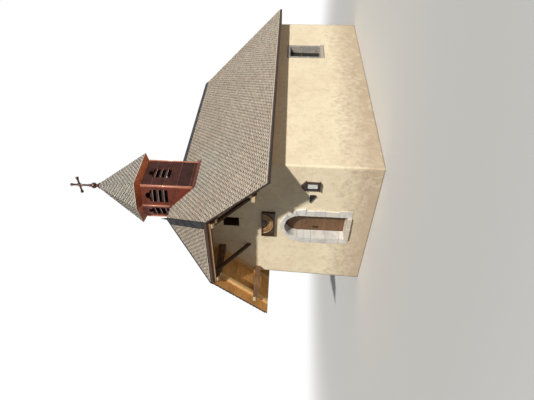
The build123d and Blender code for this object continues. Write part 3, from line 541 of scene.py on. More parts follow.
def shingle_look(name, pale, grey, brown):
    """Weathered wood: silvery where the rain runs, browner in the sheltered grain."""
    look = Look(name)
    fibre = look.noise(1.0, 4, 0.65, stretch=(90, 5, 1), source="UV")
    streak = look.noise(1.0, 4, 0.6, 0.4, stretch=(22, 1.6, 1), source="UV")
    broad = look.noise(0.55, 4, 0.55)
    colour = look.ramp(streak, (0.28, brown), (0.45, grey), (0.62, pale))
    colour = look.over(colour, scaled(brown, 0.5), fibre, (0.34, 0.6), (0.50, 0.0))
    colour = look.over(colour, brown, broad, (0.40, 0.0), (0.75, 0.2))
    colour = look.multiplied(colour, look.tint())
    # The rain that runs off the belfry's copper leaves the roof below it paler and cooler
    place = look.place()
    aside = look.maths("ABSOLUTE", look.maths("SUBTRACT", look.axis(place, 1), BELFRY_Y))
    aside = look.plus(aside, look.times(look.maths("SUBTRACT", streak, 0.5), 1.2))
    below = look.maths("ABSOLUTE", look.axis(place, 0))
    washed = look.times(look.ramp_along(aside, RUNOFF, (0.25, 1.0), (0.55, 0.0)),
                        look.ramp_along(below, RUNOFF, (0.30, 0.55), (0.85, 0.0)))
    colour = look.mix(colour, look.multiplied(colour, (0.93, 1.06, 1.16)), washed)
    # Painted shade: each shingle is painted dark where the next course covers it, and shows as shade in the
    # notches
    colour = look.over(colour, scaled(brown, 0.14), look.tint("Alpha"), (0.38, 0.0), (0.45, 1.0))
    look.finish(colour, 0.88, look.plus(look.times(fibre, 0.7), look.times(streak, 0.3)), 0.5, 0.003)


def metal(name, light, dark, rough, metallic, sheets=False, shine=0.5):
    """Weathered sheet: clouded, streaked and a little dented; sheets sets its rows apart."""
    look = Look(name)
    cloud = look.noise(2.6, 5, 0.6, 0.6)
    runs = look.noise(1.0, 4, 0.6, stretch=(16, 16, 0.9))
    spots = look.noise(38, 3, 0.6, shift=(4, 4, 4))
    dent = look.noise(5, 3, 0.5, shift=(9, 1, 5))
    colour = look.ramp(cloud, (0.30, dark), (0.55, light), (0.75, scaled(light, 0.9)))
    colour = look.over(colour, scaled(dark, 0.6), runs, (0.30, 0.35), (0.45, 0.0))
    colour = look.over(colour, scaled(light, 1.3), spots, (0.60, 0.0), (0.72, 0.5))
    if sheets:
        # Each sheet has its own tone: its row and the way it faces name it
        place = look.add("TexCoord").outputs["Object"]
        row = look.maths("FLOOR", look.maths("DIVIDE", look.axis(place, 2), SHEET))
        facing = look.true_normal()
        for operation, b in (("MULTIPLY", (3.13, 3.13, 3.13)), ("FLOOR", (0, 0, 0)),
                             ("ADD", look.add("CombineXYZ", {2: row}).outputs[0])):
            facing = look.add("VectorMath", {0: facing, 1: b}, operation=operation).outputs[0]
        tone = look.add("TexWhiteNoise", {"Vector": facing}, noise_dimensions="3D").outputs[0]
        tones = look.ramp(tone, (0.0, (0.62, 0.60, 0.64)), (0.5, (0.9, 0.9, 0.9)), (1.0, (1.0, 0.92, 0.85)))
        colour = look.multiplied(colour, tones)
        # Painted light and shade: faces toward -X are painted lighter, faces toward +X darker
        toward = look.plus(look.times(look.axis(look.true_normal(), 0), 0.5), 0.5)
        painted_side_light = look.ramp(toward, (0.12, (2.2, 1.8, 1.6)), (0.64, (1.45, 1.15, 1.05)),
                            (0.92, (0.60, 0.54, 0.52)))
        colour = look.multiplied(colour, painted_side_light)
    varied = look.ramp(cloud, (0.3, rough + 0.12), (0.7, rough - 0.08))
    look.finish(colour, varied, dent, 0.22, 0.006, metallic, shine)


def pane_look(name, scale, detail, near, far, transmission, ior, rough, bump=0.0, shine=0.5):
    """Glass with a film of dust, whose colour runs between two; bump is the dust's relief."""
    look = Look(name)
    dust = look.noise(scale, detail, 0.6)
    look.fill(look.shader, {"Transmission Weight": transmission, "IOR": ior})
    look.finish(look.ramp(dust, near, far), rough, dust if bump else None, bump, 0.01, shine=shine)


def paper(name):
    """Blank paper, a little uneven."""
    look = Look(name)
    grey = look.noise(30, 3, 0.5)
    colour = look.ramp(grey, (0.3, (0.90, 0.87, 0.84)), (0.6, (0.95, 0.92, 0.89)))
    look.finish(colour, 0.8, grey, 0.1, 0.001)


PINE = ((0.90, 0.60, 0.28), (0.60, 0.33, 0.12))
BROWN = ((0.19, 0.098, 0.045), (0.085, 0.042, 0.020))
BROWN_WEAR = (0.27, 0.18, 0.10)

plaster("plaster", (0.865, 0.755, 0.555), (0.70, 0.59, 0.42), (0.48, 0.37, 0.26))
stone_look("grey_stone", (0.70, 0.69, 0.665), (0.47, 0.47, 0.475), (0.80, 0.745, 0.65))
stone_look("mortar", (0.46, 0.41, 0.33), (0.34, 0.30, 0.25), (0.50, 0.44, 0.35))
# Painted shade: the window's stones and sill slabs are painted darker, as in the shadow of trees
stone_look("shaded_window_stone", (0.30, 0.285, 0.265), (0.16, 0.157, 0.153), (0.37, 0.335, 0.285))
stone_look("shaded_sill_stone", (0.46, 0.42, 0.37), (0.30, 0.28, 0.25), (0.50, 0.45, 0.37))
stone_look("pale_stone", (0.66, 0.60, 0.52), (0.48, 0.43, 0.37), (0.70, 0.62, 0.50))
wood("pine_boards", (0.78, 0.41, 0.13), (0.50, 0.215, 0.055), "UV", "Y", tint=True)
wood("rafter_right", *PINE, turn=(0, PITCH, 0))
wood("rafter_left", *PINE, turn=(0, -PITCH, 0))
wood("plates", *BROWN, grain="Y", wear=BROWN_WEAR, ends=(0.78, 0.60, 0.36))
wood("apse_plates", *BROWN, wear=BROWN_WEAR)
wood("brown_beam", (0.15, 0.062, 0.030), (0.060, 0.026, 0.014))
# Painted light: the lath is a real part, painted pale as the sunlit lower edge of the half hip's beam
wood("lath", (0.52, 0.34, 0.17), (0.32, 0.19, 0.09))
wood("dark_timber", (0.085, 0.045, 0.022), (0.035, 0.018, 0.010), grain="Z")
wood("niche_wood", (0.075, 0.038, 0.018), (0.030, 0.015, 0.008), rough=0.5, knots=False)
wood("roof_edge", (0.032, 0.020, 0.014), (0.014, 0.009, 0.007), "UV", "Y", rough=0.7, knots=False)
wood("hip_edge", (0.095, 0.043, 0.026), (0.042, 0.021, 0.014), "UV", "Y", rough=0.7, knots=False)
wood("carved_wood", (0.42, 0.245, 0.110), (0.20, 0.10, 0.040), rough=0.48, knots=False)
wood("glazed_wood", (0.046, 0.026, 0.018), (0.022, 0.013, 0.010), grain="Z", rough=0.5, knots=False)
wood("sash_wood", (0.070, 0.056, 0.045), (0.040, 0.031, 0.025), grain="Z", knots=False)
wood("door_planks", (0.215, 0.115, 0.055), (0.115, 0.055, 0.026), "UV", "Y", tint=True, rough=0.55)
shingle_look("shingles", (0.63, 0.545, 0.445), (0.505, 0.435, 0.35), (0.33, 0.255, 0.195))
shingle_look("spire_shingles", (0.65, 0.57, 0.48), (0.51, 0.44, 0.365), (0.34, 0.26, 0.20))
metal("copper", (0.110, 0.034, 0.023), (0.050, 0.018, 0.013), 0.50, 0.30, sheets=True, shine=0.25)
# Painted highlight: the corner beads and the corner strips are painted lighter, as the highlight along the
# belfry's corners
metal("bright_copper", (0.80, 0.44, 0.30), (0.58, 0.27, 0.17), 0.30, 0.6)
metal("strip_copper", (0.52, 0.195, 0.125), (0.26, 0.095, 0.060), 0.38, 0.6)
metal("flashing_copper", (0.25, 0.078, 0.047), (0.12, 0.040, 0.026), 0.42, 0.4, sheets=True, shine=0.3)
metal("seam_copper", (0.17, 0.062, 0.044), (0.07, 0.028, 0.021), 0.42, 0.4)
metal("soffit_copper", (0.58, 0.17, 0.070), (0.060, 0.022, 0.016), 0.34, 0.6)
metal("louvre", (0.060, 0.032, 0.026), (0.026, 0.015, 0.013), 0.6, 0.2)
metal("slat_lip", (0.52, 0.34, 0.29), (0.32, 0.19, 0.15), 0.4, 0.4)
metal("cross_copper", (0.135, 0.075, 0.060), (0.035, 0.022, 0.020), 0.24, 0.9)
metal("dark_metal", (0.028, 0.029, 0.036), (0.012, 0.012, 0.015), 0.6, 0.0, shine=0.2)
metal("band_metal", (0.043, 0.041, 0.047), (0.013, 0.012, 0.014), 0.7, 0.0, shine=0.1)
metal("iron", (0.045, 0.042, 0.040), (0.020, 0.018, 0.017), 0.55, 0.8)
pane_look("glass", 5.0, 4, (0.35, (0.012, 0.014, 0.014)), (0.65, (0.034, 0.037, 0.035)), 0.35, 1.45,
          rough=0.12, bump=0.05, shine=0.3)
pane_look("clear_pane", 12.0, 3, (0.3, (0.93, 0.94, 0.94)), (0.7, (0.98, 0.98, 0.98)), 1.0, 1.1, rough=0.03)
paper("paper")

NODE_LOOKS = {
    "plaster": ("front_wall_left", "front_wall_right", "front_wall_over_door", "front_wall_under_door",
                "gable_wall", "side_wall_left", "side_wall_right", "apse_wall_left", "apse_wall_rear",
                "apse_wall_right"),
    "iron": ("door_pintles", "door_straps"),
    "glazed_wood": ("notice_case",),
    "sash_wood": ("window_sashes",),
    "glass": ("window_glass",),
    "plates": ("wall_plates", "purlins"),
    "apse_plates": ("apse_wall_plate", "apse_purlin"),
    "rafter_right": ("rafters_right", "apse_rafters", "hip_rafters", "half_hip_rafters"),
    "rafter_left": ("rafters_left",),
    "brown_beam": ("half_hip_beam", "door_ledges"),
    "dark_timber": ("half_hip_braces",),
    "niche_wood": ("niche_case",),
    "louvre": ("belfry_louvres",),
    "copper": ("belfry_walls",),
    "soffit_copper": ("spire_cornice",),
    "strip_copper": ("belfry_corner_strips",),
    "flashing_copper": ("belfry_flashing",),
    "dark_metal": ("ridge_cap", "apex_spike", "wall_lamp"),
    "band_metal": ("half_hip_flashing",),
}


def dress_nodes():
    """Gives the nodes that show as they are their looks."""
    for look, names in NODE_LOOKS.items():
        for name in names:
            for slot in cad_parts[name].material_slots:
                slot.material = M[look]


# The roof: boards below, a dark core, and shingles on top

def mirrored_x(points):
    """The same corners on the other side, in the order that keeps the normal outward."""
    return [(-x, y, z) for x, y, z in (points[1], points[0], *reversed(points[2:]))]


HIP_END, APSE_END = (0, PEAK_Y, RIDGE_Z), (0, APSE_Y, RIDGE_Z)
HIP_CORNER = (HIP_X, FRONT_Y, HIP_Z)
SIDE_CORNER, REAR_CORNER = (EAVE_X, APSE_Y + CORNER, EAVE_Z), (CORNER, APSE_Y + EAVE_X, EAVE_Z)
RIGHT = [(EAVE_X, FRONT_Y, EAVE_Z), SIDE_CORNER, APSE_END, HIP_END, HIP_CORNER]
HALF_HIP = [(-HIP_X, FRONT_Y, HIP_Z), HIP_CORNER, HIP_END]
APSE_RIGHT = [SIDE_CORNER, REAR_CORNER, APSE_END]
APSE_REAR = [REAR_CORNER, (-CORNER, APSE_Y + EAVE_X, EAVE_Z), APSE_END]

PERP = COVER * math.cos(PITCH)      # thickness of the covering, measured square to the slope
BOARD = 0.022                       # thickness of the boards
BOARD_WIDTH = 0.165
BOARD_GAP = 0.0025                  # half of the gap between two boards
RIM = 0.014                         # width of the strip over the boards' ends
CORE = BOARD + 0.0005               # underside of the dark core
SHINGLE_BED = PERP - 0.039          # height of the shingles' bed over the boards' underside
ROOF_SHINGLES = (0.081, 0.196, SHINGLE_BED, 0.033, (0.18, 0.72))    # exposure, width, bed, butt and notch
SPIRE_SHINGLES = (0.067, 0.172, 0.002, 0.030, (0.29, 0.80))


def lay_boards(parts, slope, inside, rng):
    """Boards along the eave, one above another, inside an outline."""
    t = 0.0
    while t < slope.top:
        low, high = t + BOARD_GAP, t + BOARD_WIDTH - BOARD_GAP
        left, right = slope.left - 1, slope.right + 1
        piece = clipped([(left, low), (right, low), (right, high), (left, high)], inside)
        if piece and area(piece) > 0.0005:
            shift = rng.uniform(0, 50)
            uv = [(p[1] + shift, p[0] + shift * 3) for p in piece]
            slope.plate(parts, piece, 0.0, BOARD, uv, tinted(rng, 0.14, 0.04))
        t += BOARD_WIDTH


def roof():
    rng = random.Random(11)
    slopes = {
        "roof_right": RIGHT, "roof_left": mirrored_x(RIGHT), "roof_half_hip": HALF_HIP,
        "roof_apse_right": APSE_RIGHT, "roof_apse_left": mirrored_x(APSE_RIGHT), "roof_apse_rear": APSE_REAR,
    }
    for name, corners in slopes.items():
        slope = Slope(corners, PERP)
        core, boards, shingles = Parts(), Parts(), Parts()
        slope.plate(core, slope.outline, CORE, SHINGLE_BED, [(t, s) for s, t in slope.outline])
        strips, inside = rims(slope, corners, RIM)
        for strip in strips:
            slope.plate(core, strip, 0.0, BOARD, strip)
        edge = "hip_edge" if name == "roof_half_hip" else "roof_edge"
        core.build(name + "_battens", edge, "shingles", name)
        lay_boards(boards, slope, inside, rng)
        boards.build(name + "_boards", "pine_boards", "timber")
        lay_shingles(shingles, slope, *ROOF_SHINGLES, rng, 0.004)
        shingles.build(name + "_shingles", "shingles", "shingles")


RIDGE_REACH = 0.122                 # how far a folded joint of the ridge runs down each side
FOLD_ROOT, FOLD_RISE = 0.015, 0.008  # how far it reaches below and above the roof's upper faces
FOLD_HALF = 0.012                   # half of its width
FOLD_STEP = 1.0                     # from one joint to the next
FOLD_ENDS = (0.6, 0.2)              # what the joints leave free at the ridge's front and rear


def ridge_seams():
    """Folded joints across the metal cap of the ridge."""
    seams = Parts()
    fall = RIDGE_Z - SLOPE * RIDGE_REACH
    y = PEAK_Y + FOLD_ENDS[0]
    while y < APSE_Y - FOLD_ENDS[1]:
        ends = (y - FOLD_HALF, y + FOLD_HALF)
        for side in (1, -1):
            a, b = ends if side > 0 else ends[::-1]
            x = side * RIDGE_REACH
            slope = Slope([(x, a, fall), (x, b, fall), (0, b, RIDGE_Z), (0, a, RIDGE_Z)], FOLD_ROOT)
            low = [slope.at(p, 0.0) for p in slope.outline]
            high = [slope.at(p, FOLD_ROOT) + slope.n * FOLD_RISE for p in slope.outline]
            seams.prism(low, high, slope.outline)
        y += FOLD_STEP
    seams.build("ridge_seams", "dark_metal", "dark_metal")


def hip_lath():
    """A lath along the foot of the beam under the half hip, painted pale as the beam's sunlit lower edge."""
    low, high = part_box("half_hip_beam")
    lath = Parts()
    lath.box((low[0], low[1] - 0.014, low[2]), (high[0], low[1] - 0.0005, low[2] + 0.032))
    lath.build("half_hip_lath", "lath", "timber", bevel=(0.003, 2))


# The belfry and its spire

belfry_low, belfry_high = BELFRY_BOX
BELFRY_HALF = belfry_high[0]
BELFRY_POINT = 0.220                # how far the plan's front and rear points stand out
BELFRY_SIDE = (belfry_high[1] - belfry_low[1]) / 2 - BELFRY_POINT
BELFRY_TOP = belfry_high[2]
LOUVRE_HALF = 0.250
LOUVRE_TOP = BELFRY_TOP - 0.150
LOUVRE_LOW = LOUVRE_TOP - 0.820
SLAT_STEP = 0.205                   # from one slat of a louvre to the next
SLAT_DROP = 0.067                   # a slat's outer edge below its middle
CORNER_BEAD = 0.010                 # radius of the bead on each corner
SEAM_HALF, SEAM_END = 0.009, 0.050  # a seam's half height, and what it leaves free at the corners


def hexagon(grow=0.0):
    """The belfry's plan, grown by an even margin."""
    face = math.hypot(BELFRY_HALF, BELFRY_POINT)
    tip = BELFRY_SIDE + BELFRY_POINT + grow * face / BELFRY_HALF
    side = BELFRY_SIDE + grow * (face - BELFRY_POINT) / BELFRY_HALF
    a = BELFRY_HALF + grow
    return [(0, BELFRY_Y - tip), (a, BELFRY_Y - side), (a, BELFRY_Y + side), (0, BELFRY_Y + tip),
            (-a, BELFRY_Y + side), (-a, BELFRY_Y - side)]


def belfry_faces():
    """Each face's two lower corners, the way along it, and the turn to its own axes."""
    for a, b in pairs([Vector((*p, 0)) for p in hexagon()]):
        along = (b - a).normalized()
        yield a, b, along, Matrix((along, along.cross(UP), UP)).transposed().to_4x4()


def belfry_seams():
    """Folded seams between the rows of sheets, left out over the louvres and under the roof."""
    seams = Parts()
    for a, b, along, turn in belfry_faces():
        length = (b - a).length
        for row in range(8):
            z = (math.floor(BELFRY_TOP / SHEET) - row) * SHEET
            if z > BELFRY_TOP - 0.03:
                continue
            spans = [(SEAM_END, length - SEAM_END)]
            if LOUVRE_LOW < z < LOUVRE_TOP:
                half = length / 2 - LOUVRE_HALF - 0.012
                spans = [(SEAM_END, half), (length - half, length - SEAM_END)]
            # The roof hides what lies nearer the axis than this
            bare = max(0.0, (RIDGE_Z - z) / SLOPE + 0.02)
            for s0, s1 in spans:
                if abs(along.x) > 0.1:
                    edge = (bare - abs(a.x)) / (abs(b.x) - abs(a.x)) * length
                    if abs(b.x) > abs(a.x):
                        s0 = max(s0, edge)
                    else:
                        s1 = min(s1, edge)
                elif bare > BELFRY_HALF:
                    continue
                if s1 - s0 > 0.03:
                    place = Matrix.Translation(a + UP * z) @ turn
                    seams.box((s0, -0.001, -SEAM_HALF), (s1, 0.007, SEAM_HALF), turn=place)
    seams.build("belfry_seams", "seam_copper", "copper", bevel=(0.0015, 2))


def belfry_edges():
    """Beads on the corners, painted bright as the highlight along each corner, and folded lips on the
    louvres' slats.
    """
    beads, lips = Parts(), Parts()
    for x, y in hexagon(CORNER_BEAD + 0.001):
        foot = RIDGE_Z - SLOPE * abs(x)
        profile = [(0, foot), (CORNER_BEAD, foot), (CORNER_BEAD, BELFRY_TOP), (0, BELFRY_TOP)]
        beads.lathe(profile, Matrix.Translation((x, y, 0)), 10)
    half = LOUVRE_HALF - 0.001
    for a, b, _, turn in belfry_faces():
        for row in (1, 2, 3):
            edge = LOUVRE_LOW + row * SLAT_STEP - SLAT_DROP
            place = Matrix.Translation((a + b) / 2 + UP * edge) @ turn
            lips.box((-half, -0.010, -0.012), (half, -0.001, 0.010), turn=place)
    beads.build("corner_beads", "bright_copper", "bright_copper", smooth=True)
    lips.build("slat_lips", "slat_lip", "dark_timber", bevel=(0.002, 2))


spire_low, spire_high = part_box("spire_roof")
SPIRE_EAVE_Z, SPIRE_TIP_Z = spire_low[2], spire_high[2]
SPIRE_GROW = spire_high[0] - BELFRY_HALF
SPIRE_PLAN = hexagon(SPIRE_GROW)
SPIRE_COVER = 0.036                 # thickness of the spire's shingles


def shrunk(points, share, z):
    """The spire's plan at a height, as a share of its foot."""
    return [Vector((x * share, BELFRY_Y + (y - BELFRY_Y) * share, z)) for x, y in points]


def spire_frustum(name, look, slot, node, low, high, bevel=None):
    """A body between two levels of the spire."""
    body = Parts()
    body.prism(low, high, [(v.x, v.y) for v in low])
    body.build(name, look, slot, node, bevel=bevel)


def spire():
    rng = random.Random(23)
    foot, top = shrunk(SPIRE_PLAN, 1.0, SPIRE_EAVE_Z), shrunk(SPIRE_PLAN, 0.02, SPIRE_TIP_Z)
    shingles = Parts()
    for (a, b), (c, d) in zip(pairs(foot), pairs(top)):
        lay_shingles(shingles, Slope([a, b, d, c], SPIRE_COVER), *SPIRE_SHINGLES, rng)
    shingles.build("spire_shingle_courses", "spire_shingles", "spire_shingles")
    ring = hexagon(SPIRE_GROW - SPIRE_COVER - 0.005)
    spire_frustum("spire_core", "roof_edge", "spire_shingles", "spire_roof",
                  shrunk(ring, 1.0, SPIRE_EAVE_Z), shrunk(ring, 0.02, SPIRE_TIP_Z - 0.06))


# Profiles of the finial's turned parts: radius and height over their foot, or below their end
COLLAR = [(0, -0.01), (0.040, -0.01), (0.046, 0.010), (0.060, 0.030), (0.062, 0.052), (0.052, 0.075),
          (0.040, 0.095), (0.044, 0.112), (0.036, 0.122), (0, 0.124)]
NECK = [(0, -0.04), (0.030, -0.04), (0.036, -0.02), (0.052, -0.002), (0.052, 0.016), (0.036, 0.03), (0, 0.03)]
ROD = 0.037                         # radius of the cross's rods
KNOB = [(ROD, 0.125), (0.046, 0.118), (0.040, 0.105), (0.056, 0.085), (0.062, 0.060), (0.054, 0.032),
        (0.034, 0.014), (0.020, 0.006)]
RAY = [(0, 0.02), (0.014, 0.02), (0.011, 0.08), (0.003, 0.140), (0, 0.141)]
BOSS = [(0, -0.05), (0.050, -0.046), (0.058, 0.0), (0.050, 0.046), (0, 0.05)]
ARM_DROP = 0.370                    # the cross's arms below its top


def finial():
    """The spire's metal tip, with ball and cross."""
    ball_low, ball_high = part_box("spire_ball")
    span, _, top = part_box("spire_cross")[1]
    radius = ball_high[0]
    ball_z = ball_high[2] - radius
    share = (SPIRE_TIP_Z - ball_low[2]) / (SPIRE_TIP_Z - SPIRE_EAVE_Z)
    spire_frustum("spire_tip", "copper", "bright_copper", "spire_ball",
                  shrunk(SPIRE_PLAN, 0.036 + share * 0.98, ball_low[2]),
                  shrunk(SPIRE_PLAN, 0.034, SPIRE_TIP_Z),
                  bevel=(0.003, 2))
    axis = Matrix.Translation((0, BELFRY_Y, 0))
    cross = Parts()
    turns = [math.pi * i / 20 for i in range(1, 20)]
    round_ball = [(radius * math.sin(t), ball_z - radius * math.cos(t)) for t in turns]
    cross.lathe([(0, ball_z - radius), *round_ball, (0, ball_z + radius)], axis, 32)
    foot = ball_z + radius
    cross.lathe([(r, foot + z) for r, z in COLLAR], axis)
    cross.lathe([(r, ball_z - radius + z) for r, z in NECK], axis)
    middle = Matrix.Translation((0, BELFRY_Y, top - ARM_DROP))
    bars = [(axis, foot, top)]
    bars += [(middle @ Matrix.Rotation(math.radians(turn), 4, "Y"), 0, span) for turn in (-90, 90)]
    for place, start, end in bars:
        cross.lathe([(0, start), (ROD, start), (ROD, end - 0.12), (0, end - 0.12)], place, 20)
        cross.lathe([(0, end - 0.125), *((r, end - z) for r, z in KNOB), (0, end)], place)
    for turn in (45, 135, 225, 315):
        cross.lathe(RAY, middle @ Matrix.Rotation(math.radians(turn), 4, "Y"), 10)
    cross.lathe(BOSS, middle @ FACING_FRONT, 20)
    cross.build("ball_and_cross", "cross_copper", "bright_copper", "spire_cross", smooth=True)


# Plaster with real relief: a skin over each outer face, which dies away at its edges

STEP = 0.050                        # size of the skin's meshes
FADE = 0.05                         # the relief dies away over this much
SKIN_ROOT = 0.012                   # depth of the skin's free edges
ATTIC_HALF = 0.220                  # half width of the opening in the gable
ATTIC_LOW, ATTIC_HIGH = WALL_TOP + 0.778, WALL_TOP + 1.338


def marks_between(low, high, step, breaks=()):
    """Places along a line, no further apart than a step, with chosen places among them."""
    marks = sorted({low, high, *[b for b in breaks if low < b < high]})
    result = [low]
    for a, b in zip(marks, marks[1:]):
        count = max(1, math.ceil((b - a) / step))
        result += [a + (b - a) * i / count for i in range(1, count + 1)]
    return result


def relief(p):
    """Height of the render's surface: broad swells, trowel marks and lumps."""
    swell = noise.noise(p * 1.4)
    trowel = noise.noise(Vector((p.x * 6, p.y * 6, p.z * 9)) + Vector((3, 7, 1)))
    lumps = noise.noise(p * 21 + Vector((11, 2, 5)))
    return 0.0060 + 0.0028 * swell + 0.0026 * trowel + 0.0018 * lumps


def plaster_skin(name, point, columns, rows_of, normal, hole):
    """A grid over a face. point(s, z) gives a place on it; rows_of(s) gives a column's heights."""
    verts, faces = [], []
    index = {}
    table = [rows_of(s) for s in columns]
    ends = (point(columns[0], 0), point(columns[-1], 0))

    def add(spot):
        verts.append(Vector((spot.x, spot.y, max(0.0, spot.z))))
        return len(verts) - 1

    def corner(i, j):
        if (i, j) not in index:
            s, z = columns[i], table[i][j]
            base, foot = point(s, z), point(s, 0)
            reach = min((foot - ends[0]).length, (foot - ends[1]).length, table[i][-1] - z)
            index[i, j] = add(base + normal * (0.0006 + max(0.0, relief(base)) * min(1.0, reach / FADE)))
        return index[i, j]

    for i in range(len(columns) - 1):
        for j in range(len(table[0]) - 1):
            s = (columns[i] + columns[i + 1]) / 2
            left, right = table[i], table[i + 1]
            z = (left[j] + right[j] + left[j + 1] + right[j + 1]) / 4
            if hole(s, z) or (left[j + 1] - left[j] < 1e-6 and right[j + 1] - right[j] < 1e-6):
                continue
            faces.append([corner(i, j), corner(i + 1, j), corner(i + 1, j + 1), corner(i, j + 1)])
    # The free edges turn back into the wall
    edges = {pair for face in faces for pair in pairs(face)}
    back = {}
    for a, b in sorted(edges):
        if (b, a) not in edges:
            for v in (a, b):
                if v not in back:
                    back[v] = add(verts[v] - normal * SKIN_ROOT)
            faces.append([b, a, back[a], back[b]])
    mesh_object(name, verts, faces, "plaster", "plaster", smooth=True)


def front_skin():
    under = RIDGE_Z - COVER
    heights = marks_between(0, under, STEP, (ATTIC_LOW, ATTIC_HIGH, SILL_Z, WALL_TOP))
    attic = ATTIC_HALF / (HALF_WIDTH - LEAN * (ATTIC_LOW + ATTIC_HIGH) / 2)
    columns = marks_between(-1, 1, STEP / HALF_WIDTH, (-attic, attic, 0))

    def point(s, z):
        return Vector((s * (HALF_WIDTH - LEAN * z), FOOT_Y + LEAN * z, z))

    def hole(s, z):
        x = s * (HALF_WIDTH - LEAN * z)
        door = abs(x) < DOOR_HALF + 0.12 and FOUNDATION_Z + 0.03 < z < SPRING_Z
        head = z >= SPRING_Z and math.hypot(x, z - SPRING_Z) < DOOR_HALF + 0.09
        return door or head or (abs(x) < ATTIC_HALF and ATTIC_LOW < z < ATTIC_HIGH)

    def rows(s):
        limit = (under - SLOPE * abs(s) * HALF_WIDTH) / (1 - SLOPE * abs(s) * LEAN)
        return [min(z, limit) for z in heights]

    plaster_skin("front_plaster", point, columns, rows, Vector((0, -1, LEAN)).normalized(), hole)


def side_skins():
    window_low, window_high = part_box("window_frames")
    y0, y1 = window_low[1] + 0.07, window_high[1] - 0.07
    z0, z1 = window_low[2] - 0.03, window_high[2] - 0.07
    length = APSE_Y + HALF_WIDTH * HALF_TURN - FOOT_Y
    columns = marks_between(0, 1, STEP / length, ((y0 - FOOT_Y) / length, (y1 - FOOT_Y) / length))
    heights = marks_between(0, WALL_TOP, STEP, (z0, z1))
    for side, name in ((1, "right_plaster"), (-1, "left_plaster")):
        def point(s, z, side=side):
            start = FOOT_Y + LEAN * z
            end = APSE_Y + (HALF_WIDTH - LEAN * z) * HALF_TURN
            share = s if side > 0 else 1 - s
            return Vector((side * (HALF_WIDTH - LEAN * z), start + (end - start) * share, z))

        def hole(s, z, point=point):
            return y0 < point(s, z).y < y1 and z0 < z < z1

        order = columns if side > 0 else [1 - c for c in reversed(columns)]
        plaster_skin(name, point, order, lambda s: heights, Vector((side, 0, LEAN)).normalized(), hole)


def apse_skins():
    heights = marks_between(0, WALL_TOP, STEP)
    columns = marks_between(-1, 1, STEP / (HALF_WIDTH * HALF_TURN))
    for angle in (45, 90, 135):
        out = Vector((math.cos(math.radians(angle)), math.sin(math.radians(angle)), 0))
        along = Vector((-out.y, out.x, 0))

        def point(s, z, out=out, along=along):
            inradius = HALF_WIDTH - LEAN * z
            return Vector((0, APSE_Y, z)) + out * inradius + along * (s * inradius * HALF_TURN)

        plaster_skin(f"apse_plaster_{angle}", point, columns, lambda s: heights,
                     (out + Vector((0, 0, LEAN))).normalized(), lambda s, z: False)


# Dressed stone round the doorway and the windows

JOINT = 0.008                       # how far each stone's outline is cut back
MORTAR_DEPTH = 0.016                # how far the mortar lies back from the opening's edge
KEYSTONE = 0.475                    # width of the keystone at its top
KEY_HALF = math.degrees(math.asin(KEYSTONE / 2 / RING_HALF))    # half of its angle
JAMB_PROUD, ARCH_PROUD, KEY_PROUD = 0.012, 0.011, 0.015     # how far stones stand out from the wall's foot
JAMB_JOINTS = ((-1, (1.02, 1.50, 2.02)), (1, (1.14, 1.62, 1.95)))   # heights of the jambs' joints, by side
JAMB_SHORTS = (0.0, 0.035, 0.070)   # how much narrower than the ring a jamb's stones are
ARCH_SWELLS = (-0.045, -0.025, -0.005)  # how far an arch stone's outer edge lies from the ring
ARCH_STONES = 3                     # on each side of the keystone
MORTAR_STEPS = 36


def opening_at(angle, grow=0.0):
    """Where a joint that points to the ring's middle meets the doorway's edge."""
    dx, dz = math.cos(math.radians(angle)), math.sin(math.radians(angle))
    half = DOOR_HALF + grow
    drop = SPRING_Z - RING_Z
    if dz * half <= drop * abs(dx):
        return (math.copysign(half, dx), RING_Z + half * dz / abs(dx))
    reach = drop * dz + math.sqrt(max(0, half ** 2 - (drop * dx) ** 2))
    return (reach * dx, RING_Z + reach * dz)


def ring_at(angle, radius):
    return (radius * math.cos(math.radians(angle)), RING_Z + radius * math.sin(math.radians(angle)))


def middle_of(outline):
    return [sum(p[axis] for p in outline) / len(outline) for axis in (0, 1)]


def upright_prism(parts, outline, y_back, y_front, tint=WHITE, lean=(0, 0), uv=None):
    """A body from its outline in (x, z), counter-clockwise as seen from the front."""
    cx, cz = middle_of(outline)
    front = [Vector((x, y_front + lean[0] * (x - cx) + lean[1] * (z - cz), z)) for x, z in outline]
    parts.prism([Vector((x, y_back, z)) for x, z in outline], front, uv or outline, tint)


def stone(parts, outline, y_back, proud, rng):
    """A dressed block with its joints cut back, a little uneven in its face."""
    cx, cz = middle_of(outline)
    inner = []
    for x, z in outline:
        share = 1 - JOINT / max(math.hypot(x - cx, z - cz), 0.01)
        inner.append((cx + (x - cx) * share, cz + (z - cz) * share))
    lean = (rng.uniform(-0.010, 0.010), rng.uniform(-0.008, 0.008))
    upright_prism(parts, inner, y_back, FOOT_Y - proud, tinted(rng, 0.11, 0.02), lean)


